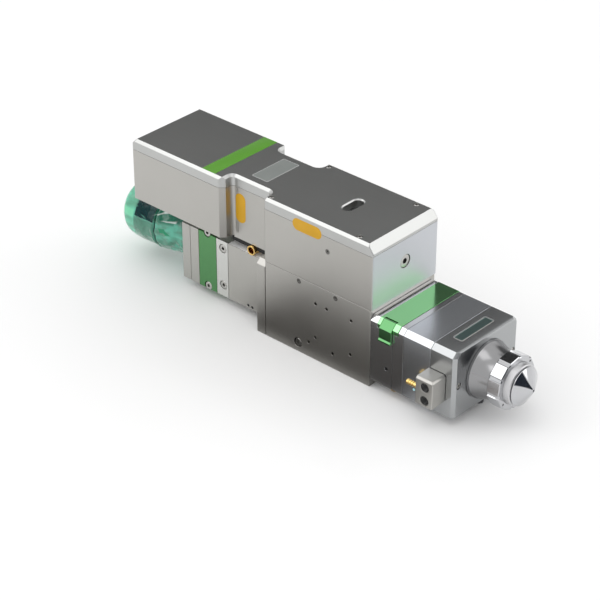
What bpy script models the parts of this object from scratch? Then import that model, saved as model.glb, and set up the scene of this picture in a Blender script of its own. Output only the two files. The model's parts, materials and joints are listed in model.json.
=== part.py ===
"""Fiber laser cutting head with a motor-driven focusing lens.

The head lies on its mounting face. +X runs along the laser beam to the nozzle, Y lies across the
head and +Z points away from the mounting face. The origin is the centre of that face.
"""

import math

import bmesh
import bpy
from mathutils import Matrix, Vector

MM = 0.001

# Clearances
GAP = 0.3 * MM
RUN = 0.3 * MM
OVER = 2 * MM

# Levels and axes
BEAM_Z = 37 * MM
HALF_WIDTH = 40 * MM
UNDERSIDE_Z = 8 * MM
DECK_DROP = 4 * MM
DECK_CHAMFER = 4.3 * MM

# Centre block
CENTRE_X0 = -58 * MM
CENTRE_LENGTH = 114.7 * MM
CENTRE_HEIGHT = 72 * MM
CLAMP_CLEARANCE = 1 * MM
MOUNT_HOLE_X = 44 * MM
MOUNT_HOLE_Y = 28 * MM
MOUNT_HOLE_R = 3 * MM
MOUNT_HOLE_DEPTH = 12 * MM
SIDE_HOLE_R = 1.5 * MM
SIDE_HOLE_DEPTH = 6 * MM
SIDE_HOLES_XZ = ((-2, 54), (10, 54), (36.4, 54), (-2, 21.5), (-9.5, 14), (17, 14), (36, 21.5))
SIDE_SCREW_XZ = (-21.4, 8.6)
SIDE_SCREW_R = 4.4 * MM

# Drive housing and cover
HOUSING_OVERHANG = 1.3 * MM
FRONT_BOX_LENGTH = 117.5 * MM
NECK_LENGTH = 46.3 * MM
NECK_HALF = 28 * MM
REAR_BOX_LENGTH = 107 * MM
REAR_BOX_LIFT = 1.7 * MM
HOUSING_HEIGHT = 48.9 * MM
FLOOR = 6 * MM
SIDE_WALL = 8 * MM
NECK_WALL = 6.5 * MM
REAR_SIDE_WALL = 6.5 * MM
REAR_WALL = 6 * MM
FRONT_WALL = 12 * MM
MOTOR_WALL = 6.8 * MM
BEARING_WALL = 9.5 * MM
BEARING_WALL_FRONT = 2 * MM
REAR_CORNER_R = 1.5 * MM
SHOULDER_R = 2.5 * MM
NECK_REAR_R = 4 * MM
NECK_FRONT_R = 5.5 * MM
FRONT_CORNER_R = 1 * MM
SMALLEST_CORNER_R = 0.2 * MM
COVER_THICKNESS = 10 * MM
COVER_SIDE_CHAMFER = 2.2 * MM
COVER_REAR_CHAMFER = 4.2 * MM
COVER_FRONT_RUN = 5.6 * MM
COVER_FRONT_DROP = 7.5 * MM
COVER_SCREW_REAR = 4.5 * MM
COVER_SCREW_FRONT = 18.5 * MM
COVER_SCREW_INSET = 5.3 * MM
COVER_SCREW_R = 2.6 * MM
COVER_SCREW_DEPTH = 3 * MM
SLOT_X = 2.5 * MM
SLOT_HALF_X = 4.8 * MM
SLOT_HALF_Y = 10.8 * MM
SLOT_CHAMFER = 1 * MM
WINDOW_REBATE = 1.8 * MM
WINDOW_THICKNESS = 2.4 * MM

# Motor, coupling and ball screw
MOTOR_LIFT = 1.2 * MM
MOTOR_LENGTH = 80 * MM
MOTOR_FLANGE = 6 * MM
MOTOR_FLANGE_STEP = 0.5 * MM
MOTOR_CORNER = 5 * MM
MOTOR_HOLE_INSET = 3.8 * MM
MOTOR_HOLE_R = 2.3 * MM
PILOT_R = 15 * MM
PILOT_LENGTH = 2.5 * MM
ENCODER_LENGTH = 24 * MM
ENCODER_STEP = 2 * MM
SHAFT_R = 4 * MM
SHAFT_OUT = 21 * MM
SHAFT_IN = 16 * MM
COUPLING_R = 11 * MM
HUB_LENGTH = 11 * MM
JAW_CLEARANCE = 0.5 * MM
JAW_COUNT = 3
JAW_ANGLE = math.radians(44)
JAW_INNER_R = 4.5 * MM
SPIDER_THICKNESS = 5 * MM
SCREW_R = 5 * MM
THREAD_END_REAR = 3 * MM
THREAD_END_FRONT = 2 * MM
BEARING_R = 11 * MM
BEARING_WIDTH = 7 * MM
BEARING_LIP = 3 * MM
FREE_BEARING_R = 8 * MM
FREE_BEARING_WIDTH = 5 * MM
PLUG_R = 5.9 * MM
PLUG_HEAD = 3 * MM
PLUG_SHANK_R = 4.2 * MM
PLUG_SOCKET_R = 2.6 * MM
NUT_R = 8 * MM
NUT_LENGTH = 22 * MM
NUT_FLANGE_R = 12.5 * MM
NUT_FLANGE_FLAT = 8.2 * MM
NUT_FLANGE = 5 * MM

# Linear guide, carriage and scale
RAIL_WIDTH = 9 * MM
RAIL_HEIGHT = 6.5 * MM
RAIL_WAIST = 1 * MM
RAIL_GROOVE = (0.45, 0.6, 0.8)
RAIL_REAR_ROOM = 8 * MM
RAIL_FRONT_ROOM = 4 * MM
RAIL_BLOCK_LENGTH = 29 * MM
RAIL_BLOCK_INSET = 0.5 * MM
RAIL_BLOCK_ROOM = 3.5 * MM
RAIL_BLOCK_FOOT = 1.4 * MM
RAIL_BLOCK_HEIGHT = 10 * MM
CARRIAGE_LENGTH = 36 * MM
CARRIAGE_CLEARANCE = 1.5 * MM
CARRIAGE_PLATE = 7 * MM
NUT_HOUSING_WIDTH = 26 * MM
NUT_HOUSING_REAR = 7.4 * MM
NUT_HOUSING_LENGTH = 22 * MM
ARM_LENGTH = 28 * MM
ARM_WIDTH = 13 * MM
CLAMP_WALL = 2.7 * MM
FOCUS_TRAVEL = 10 * MM
ARM_CLEARANCE = 1.6 * MM
SCALE_LENGTH = 42 * MM
SCALE_WIDTH = 28 * MM
SCALE_THICKNESS = 2 * MM
SCALE_SHIFT = 3 * MM
SCALE_ROOM = 1.4 * MM
SCALE_CORNER_R = 2 * MM
SENSOR_BOARD_LENGTH = 50 * MM
SENSOR_BOARD_HEIGHT = 12 * MM
SENSOR_BOARD = 1.6 * MM
SENSOR_WIDTH = 6 * MM
SENSOR_DEPTH = 5 * MM
SENSOR_HEIGHT = 8 * MM
SENSOR_FORK = 3 * MM
SENSOR_RISE = 3 * MM
FLAG_HALF = 8 * MM
FLAG_Y = 22 * MM
FLAG_THICKNESS = 1.4 * MM
FLAG_REACH = 2 * MM

# Focusing lens
BARREL_R = 20 * MM
BARREL_LENGTH = 64 * MM
BARREL_INNER_R = 14.5 * MM
BARREL_EDGE = 0.5 * MM
FOCUS_LENS_R = 16 * MM
FOCUS_LENS_EDGE = 4 * MM
FOCUS_LENS_SAG = 3 * MM
LENS_POCKET_X = 8 * MM
RETAINER_WIDTH = 4 * MM
RETAINER_WALL = 2.6 * MM
RETAINER_SEAT = 0.4

# Collimator stack, from the centre block towards the fiber
REAR_FLANGE_LENGTH = 9.5 * MM
REAR_FLANGE_DROP = 1.5 * MM
COLLIMATOR_HALF = 28.4 * MM
COLLIMATOR_DROP = 9.5 * MM
COLLIMATOR_LENGTH = 44 * MM
CLAMP_LENGTH = 13.5 * MM
COVER_LENGTH = 20.8 * MM
SPACER_LENGTH = 9.9 * MM
FIBER_FLANGE_LENGTH = 9.4 * MM
BEAM_BORE_R = 12 * MM
CELL_BORE_R = 16 * MM
CELL_SETBACK = 4.1 * MM
CELL_LENGTH = 30 * MM
CELL_WALL = 4 * MM
CELL_SHOULDER = 0.6
COLLIMATOR_LENS_R = 13.5 * MM
COLLIMATOR_LENS_EDGE = 3.5 * MM
COLLIMATOR_LENS_SAG = 2.4 * MM
CLAMP_SCREW_INSET = 7.5 * MM
CLAMP_SCREW_SHIFT = 1 * MM
COVER_SCREW_PAST_EDGE = 0.8 * MM
COLLIMATOR_SCREW_R = 4.3 * MM
COLLIMATOR_SCREW_DEPTH = 1.4 * MM
PAD_LENGTH = 35 * MM
PAD_HALF = 19 * MM
FITTING_SETBACK = 15.6 * MM
FITTING_CLEARANCE = 0.4 * MM
FITTING_WALL = 1.4 * MM
FITTING_EDGE = 0.5 * MM
FITTING_END = 4 * MM
FITTING_LENGTH = 16 * MM
FITTING_PROUD = 1.5 * MM

# Fiber receptacle, lock collar, cap and protective film
RECEPTACLE_FLANGE_R = 19 * MM
RECEPTACLE_FLANGE = 6.7 * MM
RECEPTACLE_BODY_R = 17 * MM
RECEPTACLE_BODY = 24.5 * MM
COLLAR_SEAT_R = 15 * MM
COLLAR_LENGTH = 20 * MM
COLLAR_R = 22.2 * MM
COLLAR_FLUTES = 10
COLLAR_FLUTE_DEPTH = 1.4 * MM
COLLAR_FLUTE_SHARE = 0.3
SNAP_RING = 2.5 * MM
FIBER_BORE_R = 8 * MM
FIBER_BORE_DEPTH = 34 * MM
FIBER_THROAT_R = 5 * MM
CAP_R = 12.5 * MM
CAP_LENGTH = 27.5 * MM
CAP_STEM = 20 * MM
CAP_EDGE = 1.5 * MM
FILM_WALL = 0.9 * MM
FILM_PROFILE = ((-2, 1.3), (-14, 1.6), (-27, 5.4), (-40, 7.4), (-56, 7.6), (-69, 7.1), (-78, 5),
                (-86, 1), (-93, -6), (-96.5, -13))
FILM_SIDE_POINTS = 6
FILM_END = 97.5 * MM

# Protective window and its drawer
WINDOW_HOUSING_LENGTH = 23 * MM
SEAL_PLATE_LENGTH = 10.7 * MM
DRAWER_CAP_SETBACK = 7.2 * MM
DRAWER_CAP_LENGTH = 21.4 * MM
DRAWER_CAP_WALL = 3.6 * MM
DRAWER_SIDE_WALL = 2.6 * MM
DRAWER_SKIRT_DROP = 7.6 * MM
DRAWER_PROUD = 0.3 * MM
TRAY_THICKNESS = 11.4 * MM
TRAY_HALF = 23.5 * MM
TRAY_BOTTOM_Z = 12 * MM
TRAY_CORNER_R = 3 * MM
GLASS_R = 15 * MM
GLASS_THICKNESS = 5 * MM
GLASS_LIP = 2 * MM
GLASS_BACK = 3 * MM
SEAL_R = 18 * MM
SEAL_SECTION = 1 * MM
LATCH_SETBACK = 3.3 * MM
LATCH_LENGTH = 12.2 * MM
LATCH_PIN_INSET = 5 * MM
LATCH_HUB_R = 1.8 * MM
LATCH_PIN_R = 0.7 * MM
LATCH_PIN_GRIP = 1.5 * MM
LATCH_THICKNESS = 1.8 * MM
LATCH_DROP = 17.3 * MM
LATCH_LIP = 1.2 * MM

# Front modules
SENSOR_MOUNT_LENGTH = 27.3 * MM
FRONT_MODULE_LENGTH = 24.2 * MM
FRONT_BORE_R = 11 * MM
FRONT_CORNER = 2.75 * MM
FRONT_EDGE = 0.8 * MM
PLATE_SETBACK = 10.2 * MM
PLATE_LENGTH = 9.8 * MM
PLATE_HALF = 20.8 * MM
PLATE_DEPTH = 0.5 * MM
PLATE_CORNER_R = 1.6 * MM
FRONT_SCREW_INSET = 6 * MM
FRONT_SCREW_R = 3 * MM
FRONT_SCREW_DEPTH = 3 * MM

# Nozzle group
FLARE_BASE_R = 25.3 * MM
FLARE_END_R = 21.6 * MM
FLARE_LENGTH = 17.6 * MM
FLARE_RIM = 1.2 * MM
FLARE_CURVE = 2.2
FLARE_BORE_R = 9 * MM
LOCK_RING_R = 23.4 * MM
LOCK_RING_LENGTH = 12 * MM
LOCK_RING_FLATS = 10
LOCK_RING_GROOVE = math.radians(10)
LOCK_RING_GROOVE_DEPTH = 1 * MM
LOCK_RING_GROOVE_ROOT = 0.6
LOCK_RING_PHASE = 0.25
LOCK_RING_WALL = 2.8 * MM
LOCK_RING_LIP = 2.5 * MM
CERAMIC_THICKNESS = 3 * MM
CERAMIC_BORE_R = 8 * MM
HOLDER_R = 17.8 * MM
HOLDER_LENGTH = 9 * MM
NOZZLE_R = 16.6 * MM
NOZZLE_RIM = 1.3 * MM
NOZZLE_CONE = 8.8 * MM
NOZZLE_TIP_R = 1.9 * MM
NOZZLE_ORIFICE_R = 1 * MM
NOZZLE_STEM_R = 6 * MM
NOZZLE_STEM = 9 * MM
NOZZLE_STEM_BORE_R = 3 * MM
STEM_CLEARANCE = 0.5 * MM
TURNED_EDGE = 0.6 * MM

# Sensor port block
PORT_BLOCK_OVERLAP = 1.2 * MM
PORT_BLOCK_LENGTH = 17 * MM
PORT_BLOCK_OUT = 16.2 * MM
PORT_BLOCK_Z0 = 21.8 * MM
PORT_BLOCK_HEIGHT = 24.7 * MM
PORT_BLOCK_CHAMFER = 1.8 * MM
PORT_SETBACK = 9.1 * MM
PORTS_UP = (17.2 * MM, 5 * MM)
PORT_R = 3.8 * MM
PORT_BORE_R = 2.6 * MM
PORT_DEPTH = 9 * MM
PORT_END = 2.25 * MM
COAX_R = 2.3 * MM
COAX_LENGTH = 14.6 * MM
COAX_UP = 9.2 * MM
COAX_SEAT = 3 * MM
COAX_RIM = 5 * MM
COAX_STEP = 0.4 * MM
COAX_PIN_R = 1.2 * MM

# Power connector on the rear wall
CONNECTOR_Y = 18 * MM
CONNECTOR_DROP = 3.2 * MM
CONNECTOR_R = 9.5 * MM
CONNECTOR_FLANGE_R = 12 * MM
CONNECTOR_FLANGE = 2.4 * MM
CONNECTOR_LENGTH = 13 * MM
CONNECTOR_SOCKET_R = 7.2 * MM
CONNECTOR_THROAT_R = 8 * MM
CONNECTOR_IN = 7 * MM

ARC_STEP = math.radians(22.5)
FINE = 36
ROUND = 22
SMALL = 14
FLARE_STEPS = 6

# Sizes and places worked out from the sizes above
CENTRE_X1 = CENTRE_X0 + CENTRE_LENGTH
HOUSING_Z0 = CENTRE_HEIGHT + GAP
HOUSING_Z1 = HOUSING_Z0 + HOUSING_HEIGHT
COVER_Z0 = HOUSING_Z1 + GAP
COVER_Z1 = COVER_Z0 + COVER_THICKNESS
FLOOR_Z = HOUSING_Z0 + FLOOR
MOTOR_SIZE = HOUSING_HEIGHT - FLOOR - REAR_BOX_LIFT - MOTOR_LIFT
MOTOR_BODY_SIZE = MOTOR_SIZE - 2 * MOTOR_FLANGE_STEP
MOTOR_HOLE = MOTOR_SIZE / 2 - MOTOR_HOLE_INSET
ENCODER_SIZE = MOTOR_SIZE - 2 * ENCODER_STEP
SCREW_Z = HOUSING_Z1 - MOTOR_SIZE / 2
DECK_Z = CENTRE_HEIGHT - DECK_DROP
REAR_FLANGE_HEIGHT = CENTRE_HEIGHT - REAR_FLANGE_DROP
COLLIMATOR_TOP = CENTRE_HEIGHT - COLLIMATOR_DROP
BARREL_BORE_R = BARREL_R + GAP + CLAMP_WALL + CLAMP_CLEARANCE
HOUSING_FRONT_X = CENTRE_X1 + HOUSING_OVERHANG
FRONT_BOX_X0 = HOUSING_FRONT_X - FRONT_BOX_LENGTH
NECK_X0 = FRONT_BOX_X0 - NECK_LENGTH
REAR_BOX_X0 = NECK_X0 - REAR_BOX_LENGTH
COVER_SCREWS_X = (FRONT_BOX_X0 + COVER_SCREW_REAR, HOUSING_FRONT_X - COVER_SCREW_FRONT)
COVER_SCREW_Y = HALF_WIDTH - COVER_SCREW_INSET
MOTOR_WALL_X0 = NECK_X0 + GAP - MOTOR_WALL
CAVITY_X0 = FRONT_BOX_X0 + BEARING_WALL
CAVITY_X1 = HOUSING_FRONT_X - FRONT_WALL
NECK_CAVITY_X0 = NECK_X0 + GAP
NECK_CAVITY_X1 = FRONT_BOX_X0 - BEARING_WALL_FRONT
MOTOR_FACE_X = MOTOR_WALL_X0 - GAP
MOTOR_HUB_X0 = MOTOR_FACE_X + SHAFT_OUT - HUB_LENGTH
JAW_LENGTH = SPIDER_THICKNESS + 2 * GAP - JAW_CLEARANCE
SPIDER_X0 = MOTOR_HUB_X0 + HUB_LENGTH + GAP
SCREW_HUB_X0 = SPIDER_X0 + SPIDER_THICKNESS + GAP
SCREW_HUB_X1 = SCREW_HUB_X0 + HUB_LENGTH
BEARING_X0 = CAVITY_X0 - GAP - BEARING_WIDTH
FREE_BEARING_X0 = CAVITY_X1 + GAP
PLUG_X0 = HOUSING_FRONT_X - PLUG_HEAD - 2 * GAP
RAIL_X0 = CAVITY_X0 + RAIL_REAR_ROOM
RAIL_LENGTH = CAVITY_X1 - RAIL_FRONT_ROOM - RAIL_X0
RAIL_Z = FLOOR_Z + GAP
CARRIAGE_WIDTH = 2 * (HALF_WIDTH - SIDE_WALL - CARRIAGE_CLEARANCE)
RAIL_BLOCK_OUTER = CARRIAGE_WIDTH / 2 - RAIL_BLOCK_INSET
RAIL_BLOCK_INNER = ARM_WIDTH / 2 + RAIL_BLOCK_ROOM
RAIL_BLOCK_WIDTH = RAIL_BLOCK_OUTER - RAIL_BLOCK_INNER
RAIL_Y = (RAIL_BLOCK_OUTER + RAIL_BLOCK_INNER) / 2
RAIL_BLOCK_TOP = FLOOR_Z + RAIL_BLOCK_HEIGHT
CARRIAGE_Z = RAIL_BLOCK_TOP + GAP
NUT_HOUSING_X0 = -NUT_HOUSING_REAR
NUT_HOUSING_Z1 = HOUSING_Z1 - SCALE_ROOM - SCALE_THICKNESS - GAP
NUT_FLANGE_X0 = NUT_HOUSING_X0 - GAP - NUT_FLANGE
SENSOR_Z = SCREW_Z + SENSOR_RISE
FLANGE_X1 = CENTRE_X0 - GAP
FLANGE_X0 = FLANGE_X1 - REAR_FLANGE_LENGTH
COLLIMATOR_X1 = FLANGE_X0 - GAP
COLLIMATOR_X0 = COLLIMATOR_X1 - COLLIMATOR_LENGTH
CLAMP_X1 = COLLIMATOR_X0 - GAP
CLAMP_X0 = CLAMP_X1 - CLAMP_LENGTH
COVER_X1 = CLAMP_X0 - GAP
COVER_X0 = COVER_X1 - COVER_LENGTH
SPACER_X1 = COVER_X0 - GAP
SPACER_X0 = SPACER_X1 - SPACER_LENGTH
FIBER_FLANGE_X1 = SPACER_X0 - GAP
FIBER_FLANGE_X0 = FIBER_FLANGE_X1 - FIBER_FLANGE_LENGTH
RECEPTACLE_X1 = FIBER_FLANGE_X0 - GAP
RECEPTACLE_BODY_X1 = RECEPTACLE_X1 - RECEPTACLE_FLANGE
COLLAR_SEAT_X1 = RECEPTACLE_BODY_X1 - RECEPTACLE_BODY
COLLAR_X1 = COLLAR_SEAT_X1 - RUN
COLLAR_X0 = COLLAR_X1 - COLLAR_LENGTH
SNAP_RING_X1 = COLLAR_X0 - RUN
RECEPTACLE_X0 = SNAP_RING_X1 - SNAP_RING
CLAMP_SCREW_Z = COLLIMATOR_TOP - BEAM_Z - CLAMP_SCREW_INSET
COVER_NOTCH_Z = COLLIMATOR_TOP - BEAM_Z + COVER_SCREW_PAST_EDGE
CELL_X = COLLIMATOR_X0 + CELL_SETBACK
FITTING_X = COLLIMATOR_X1 - FITTING_SETBACK
FITTING_Z = (COLLIMATOR_TOP + HOUSING_Z0) / 2
FITTING_R = (HOUSING_Z0 - COLLIMATOR_TOP) / 2 - FITTING_CLEARANCE
FITTING_BORE_R = FITTING_R - FITTING_WALL
WINDOW_HOUSING_X0 = CENTRE_X1 + GAP
WINDOW_HOUSING_X1 = WINDOW_HOUSING_X0 + WINDOW_HOUSING_LENGTH
SEAL_PLATE_X0 = WINDOW_HOUSING_X1 + GAP
SEAL_PLATE_X1 = SEAL_PLATE_X0 + SEAL_PLATE_LENGTH
SENSOR_MOUNT_X0 = SEAL_PLATE_X1 + GAP
SENSOR_MOUNT_X1 = SENSOR_MOUNT_X0 + SENSOR_MOUNT_LENGTH
FRONT_MODULE_X0 = SENSOR_MOUNT_X1 + GAP
FRONT_FACE_X = FRONT_MODULE_X0 + FRONT_MODULE_LENGTH
PLATE_X = FRONT_MODULE_X0 + PLATE_SETBACK
FRONT_SCREW_Y = HALF_WIDTH - FRONT_SCREW_INSET
TRAY_X1 = WINDOW_HOUSING_X1 - GAP
TRAY_X0 = TRAY_X1 - TRAY_THICKNESS
CAP_X0 = WINDOW_HOUSING_X0 + DRAWER_CAP_SETBACK
CAP_X1 = CAP_X0 + DRAWER_CAP_LENGTH
CAP_TOP_Z = DECK_Z + DRAWER_PROUD
DRAWER_SKIRT_Z = DECK_Z - DRAWER_SKIRT_DROP
CAP_INNER_Z = CAP_TOP_Z - DRAWER_CAP_WALL
CORE_TOP_Z = CAP_INNER_Z - GAP
CAP_HALF = HALF_WIDTH + DRAWER_PROUD
CORE_HALF = CAP_HALF - DRAWER_SIDE_WALL - GAP
LATCH_X0 = CAP_X0 + LATCH_SETBACK
LATCH_X1 = LATCH_X0 + LATCH_LENGTH
LATCH_TIP_Z = DECK_Z - LATCH_DROP
LATCH_PIN_Y = LATCH_PIN_INSET - HALF_WIDTH
LATCH_PIN_Z = CAP_TOP_Z - LATCH_HUB_R
FLARE_X0 = FRONT_FACE_X + GAP
FLARE_X1 = FLARE_X0 + FLARE_LENGTH
LOCK_RING_X0 = FLARE_X1 + GAP
LOCK_RING_X1 = LOCK_RING_X0 + LOCK_RING_LENGTH
LOCK_RING_SEAT_R = LOCK_RING_R - LOCK_RING_WALL
HOLDER_BORE_R = NOZZLE_STEM_R + STEM_CLEARANCE
HOLDER_X0 = FLARE_X1 + 2 * GAP + CERAMIC_THICKNESS
HOLDER_SHOULDER_X = LOCK_RING_X1 - LOCK_RING_LIP - GAP
HOLDER_X1 = HOLDER_SHOULDER_X + HOLDER_LENGTH
NOZZLE_X0 = HOLDER_X1 + GAP
PORT_BLOCK_X0 = FRONT_MODULE_X0 - PORT_BLOCK_OVERLAP
PORT_X = PORT_BLOCK_X0 + PORT_SETBACK
PORTS_Z = tuple(PORT_BLOCK_Z0 + up for up in PORTS_UP)
COAX_Z = PORT_BLOCK_Z0 + COAX_UP
CONNECTOR_Z = SCREW_Z - CONNECTOR_DROP


def clear_scene():
    for obj in list(bpy.data.objects):
        bpy.data.objects.remove(obj, do_unlink=True)


def finish(name, colour, metallic, roughness, alpha=1.0):
    """A Principled material of one colour."""
    material = bpy.data.materials.new(name)
    material.use_nodes = True
    shader = material.node_tree.nodes["Principled BSDF"]
    shader.inputs["Base Color"].default_value = (*colour, 1.0)
    shader.inputs["Metallic"].default_value = metallic
    shader.inputs["Roughness"].default_value = roughness
    shader.inputs["Alpha"].default_value = alpha
    return material


def axis_empty(name, location, parent=None):
    empty = bpy.data.objects.new(name, None)
    empty.location = location
    empty.parent = parent
    bpy.context.scene.collection.objects.link(empty)
    return empty


def add_object(name, bm, material, parent=None, location=(0, 0, 0), turn=(0, 0, 0), smooth=False):
    """Turns a bmesh into a named object at its place."""
    bmesh.ops.recalc_face_normals(bm, faces=bm.faces)
    mesh = bpy.data.meshes.new(name)
    bm.to_mesh(mesh)
    bm.free()
    if material:
        mesh.materials.append(material)
    if smooth:
        mesh.shade_smooth()
        mesh.set_sharp_from_angle(angle=math.radians(32))
    obj = bpy.data.objects.new(name, mesh)
    obj.location = location
    obj.rotation_euler = turn
    obj.parent = parent
    bpy.context.scene.collection.objects.link(obj)
    return obj


def combine(obj, shapes, operation):
    """Adds one Boolean for each shape, which is given in the object's own frame."""
    for number, bm in enumerate(shapes):
        label = f"{obj.name}_{operation.lower()}_{len(obj.modifiers) + number}"
        helper = add_object(label, bm, None, obj.parent, obj.location, obj.rotation_euler)
        helper.hide_render = True
        helper.display_type = "WIRE"
        boolean = obj.modifiers.new(label, "BOOLEAN")
        boolean.operation = operation
        boolean.solver = "EXACT"
        boolean.object = helper
    return obj


def cut(obj, *shapes):
    return combine(obj, shapes, "DIFFERENCE")


def unite(obj, *shapes):
    return combine(obj, shapes, "UNION")


def placed(axis, along, first, second):
    """A point from its place along an axis and its two other coordinates, in X, Y, Z order."""
    if axis == "x":
        return Vector((along, first, second))
    if axis == "y":
        return Vector((first, along, second))
    return Vector((first, second, along))


def loft(axis, sections):
    """A closed skin through sections of (place along the axis, outline), all with as many points."""
    bm = bmesh.new()
    rings = []
    for along, outline in sections:
        rings.append([bm.verts.new(placed(axis, along, *point)) for point in outline])
    bm.faces.new(rings[0])
    bm.faces.new(rings[-1])
    for ring, following in zip(rings, rings[1:]):
        for i, vert in enumerate(ring):
            j = (i + 1) % len(ring)
            bm.faces.new((vert, ring[j], following[j], following[i]))
    return bm


def prism(axis, outline, low, high):
    """An outline extruded along an axis."""
    bm = bmesh.new()
    verts = [bm.verts.new(placed(axis, low, *point)) for point in outline]
    face = bm.faces.new(verts)
    grown = bmesh.ops.extrude_face_region(bm, geom=[face])
    moved = [item for item in grown["geom"] if isinstance(item, bmesh.types.BMVert)]
    bmesh.ops.translate(bm, vec=placed(axis, high - low, 0, 0), verts=moved)
    return bm


def box(x0, x1, y0, y1, z0, z1):
    """A cuboid between two corners."""
    bm = bmesh.new()
    bmesh.ops.create_cube(bm, size=1.0)
    bmesh.ops.scale(bm, vec=(x1 - x0, y1 - y0, z1 - z0), verts=bm.verts)
    bmesh.ops.translate(bm, vec=((x0 + x1) / 2, (y0 + y1) / 2, (z0 + z1) / 2), verts=bm.verts)
    return bm


def turned(outline, steps):
    """An outline of (x, radius) points spun about the X axis. It is open where it starts on the axis."""
    bm = bmesh.new()
    verts = [bm.verts.new((x, radius, 0)) for x, radius in outline]
    edges = [bm.edges.new(pair) for pair in zip(verts, verts[1:])]
    if outline[0][1] > 0:
        edges.append(bm.edges.new((verts[-1], verts[0])))
    bmesh.ops.spin(bm, geom=verts + edges, cent=(0, 0, 0), axis=(1, 0, 0), dvec=(0, 0, 0),
                   angle=math.tau, steps=steps, use_merge=True)
    bmesh.ops.remove_doubles(bm, verts=bm.verts, dist=1e-6)
    return bm


def stepped(steps_x, steps):
    """A stepped rod: each (x, radius) starts a length of that radius, and the last one ends it."""
    outline = [(steps_x[0][0], 0)]
    for (x0, radius), (x1, _) in zip(steps_x, steps_x[1:]):
        outline += [(x0, radius), (x1, radius)]
    return turned(outline + [(steps_x[-1][0], 0)], steps)


def rod(x0, x1, radius, steps=SMALL):
    return turned([(x0, 0), (x0, radius), (x1, radius), (x1, 0)], steps)


def ring(x0, x1, inner, outer, steps=ROUND):
    return turned([(x0, inner), (x0, outer), (x1, outer), (x1, inner)], steps)


def moved(bm, offset, turn=None):
    """The shape turned about the origin by an optional matrix, and then moved."""
    if turn:
        bmesh.ops.transform(bm, matrix=turn, verts=bm.verts)
    bmesh.ops.translate(bm, vec=offset, verts=bm.verts)
    return bm


def drilled(axis, place, radius, low, high, steps=SMALL):
    """A round cutter along an axis, at the place given by its two other coordinates."""
    turns = {"x": Matrix(), "y": Matrix.Rotation(math.pi / 2, 4, "Z"),
             "z": Matrix.Rotation(-math.pi / 2, 4, "Y")}
    return moved(rod(low, high, radius, steps), placed(axis, 0, *place), turns[axis])


def arc(centre, radius, start, end, steps):
    """Points along an arc, in the plane of the outline."""
    points = []
    for i in range(steps + 1):
        angle = start + (end - start) * i / steps
        points.append((centre[0] + radius * math.cos(angle), centre[1] + radius * math.sin(angle)))
    return points


def rounded(corners):
    """A closed outline through (x, y, radius) corners, each turned into an arc of its radius."""
    outline = []
    for i, (x, y, radius) in enumerate(corners):
        corner = Vector((x, y))
        before = (Vector(corners[i - 1][:2]) - corner).normalized()
        after = (Vector(corners[(i + 1) % len(corners)][:2]) - corner).normalized()
        half = before.angle(after) / 2
        if radius <= 0:
            outline.append((x, y))
            continue
        reach = radius / math.tan(half)
        centre = corner + (before + after).normalized() * radius / math.sin(half)
        start = corner + before * reach - centre
        sweep = math.pi - 2 * half
        side = 1 if before.cross(after) < 0 else -1
        steps = max(1, round(sweep / ARC_STEP))
        first = math.atan2(start.y, start.x)
        outline += arc(centre, radius, first, first + side * sweep, steps)
    return outline


def body_outline(half, low, high, chamfer):
    """The cross-section that all blocks under the deck share: square below, chamfered above."""
    return [(-half, low), (half, low), (half, high - chamfer), (half - chamfer, high),
            (chamfer - half, high), (-half, high - chamfer)]


def rectangle(half_first, low, high):
    return [(-half_first, low), (half_first, low), (half_first, high), (-half_first, high)]


def rounded_rectangle(centre, half_x, half_y, radius):
    """A rectangle in plan with round corners."""
    corners = ((-half_x, -half_y), (half_x, -half_y), (half_x, half_y), (-half_x, half_y))
    return rounded([(centre + x, y, radius) for x, y in corners])


def stadium(centre, half_x, half_y):
    """A slot outline with round ends, long in Y."""
    straight = half_y - half_x
    top = arc((centre, straight), half_x, 0, math.pi, 8)
    bottom = arc((centre, -straight), half_x, math.pi, math.tau, 8)
    return top + bottom


def housing_plan(side_in=0.0, rear_in=0.0, front_in=0.0):
    """The plan of the drive housing and its cover, drawn in from its edges by the three insets."""
    half = HALF_WIDTH - side_in
    neck = NECK_HALF - side_in
    front_x = HOUSING_FRONT_X - front_in
    box_x = FRONT_BOX_X0 + side_in
    neck_x = NECK_X0 - side_in
    rear_x = REAR_BOX_X0 + rear_in
    convex = max(SHOULDER_R - side_in, SMALLEST_CORNER_R)
    one_side = [
        (rear_x, half, max(REAR_CORNER_R - side_in, SMALLEST_CORNER_R)),
        (neck_x, half, convex),
        (neck_x, neck, NECK_REAR_R + side_in),
        (box_x, neck, NECK_FRONT_R + side_in),
        (box_x, half, convex),
        (front_x, half, max(FRONT_CORNER_R - side_in, SMALLEST_CORNER_R)),
    ]
    other_side = [(x, -y, radius) for x, y, radius in reversed(one_side)]
    return rounded(other_side + one_side)


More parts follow.
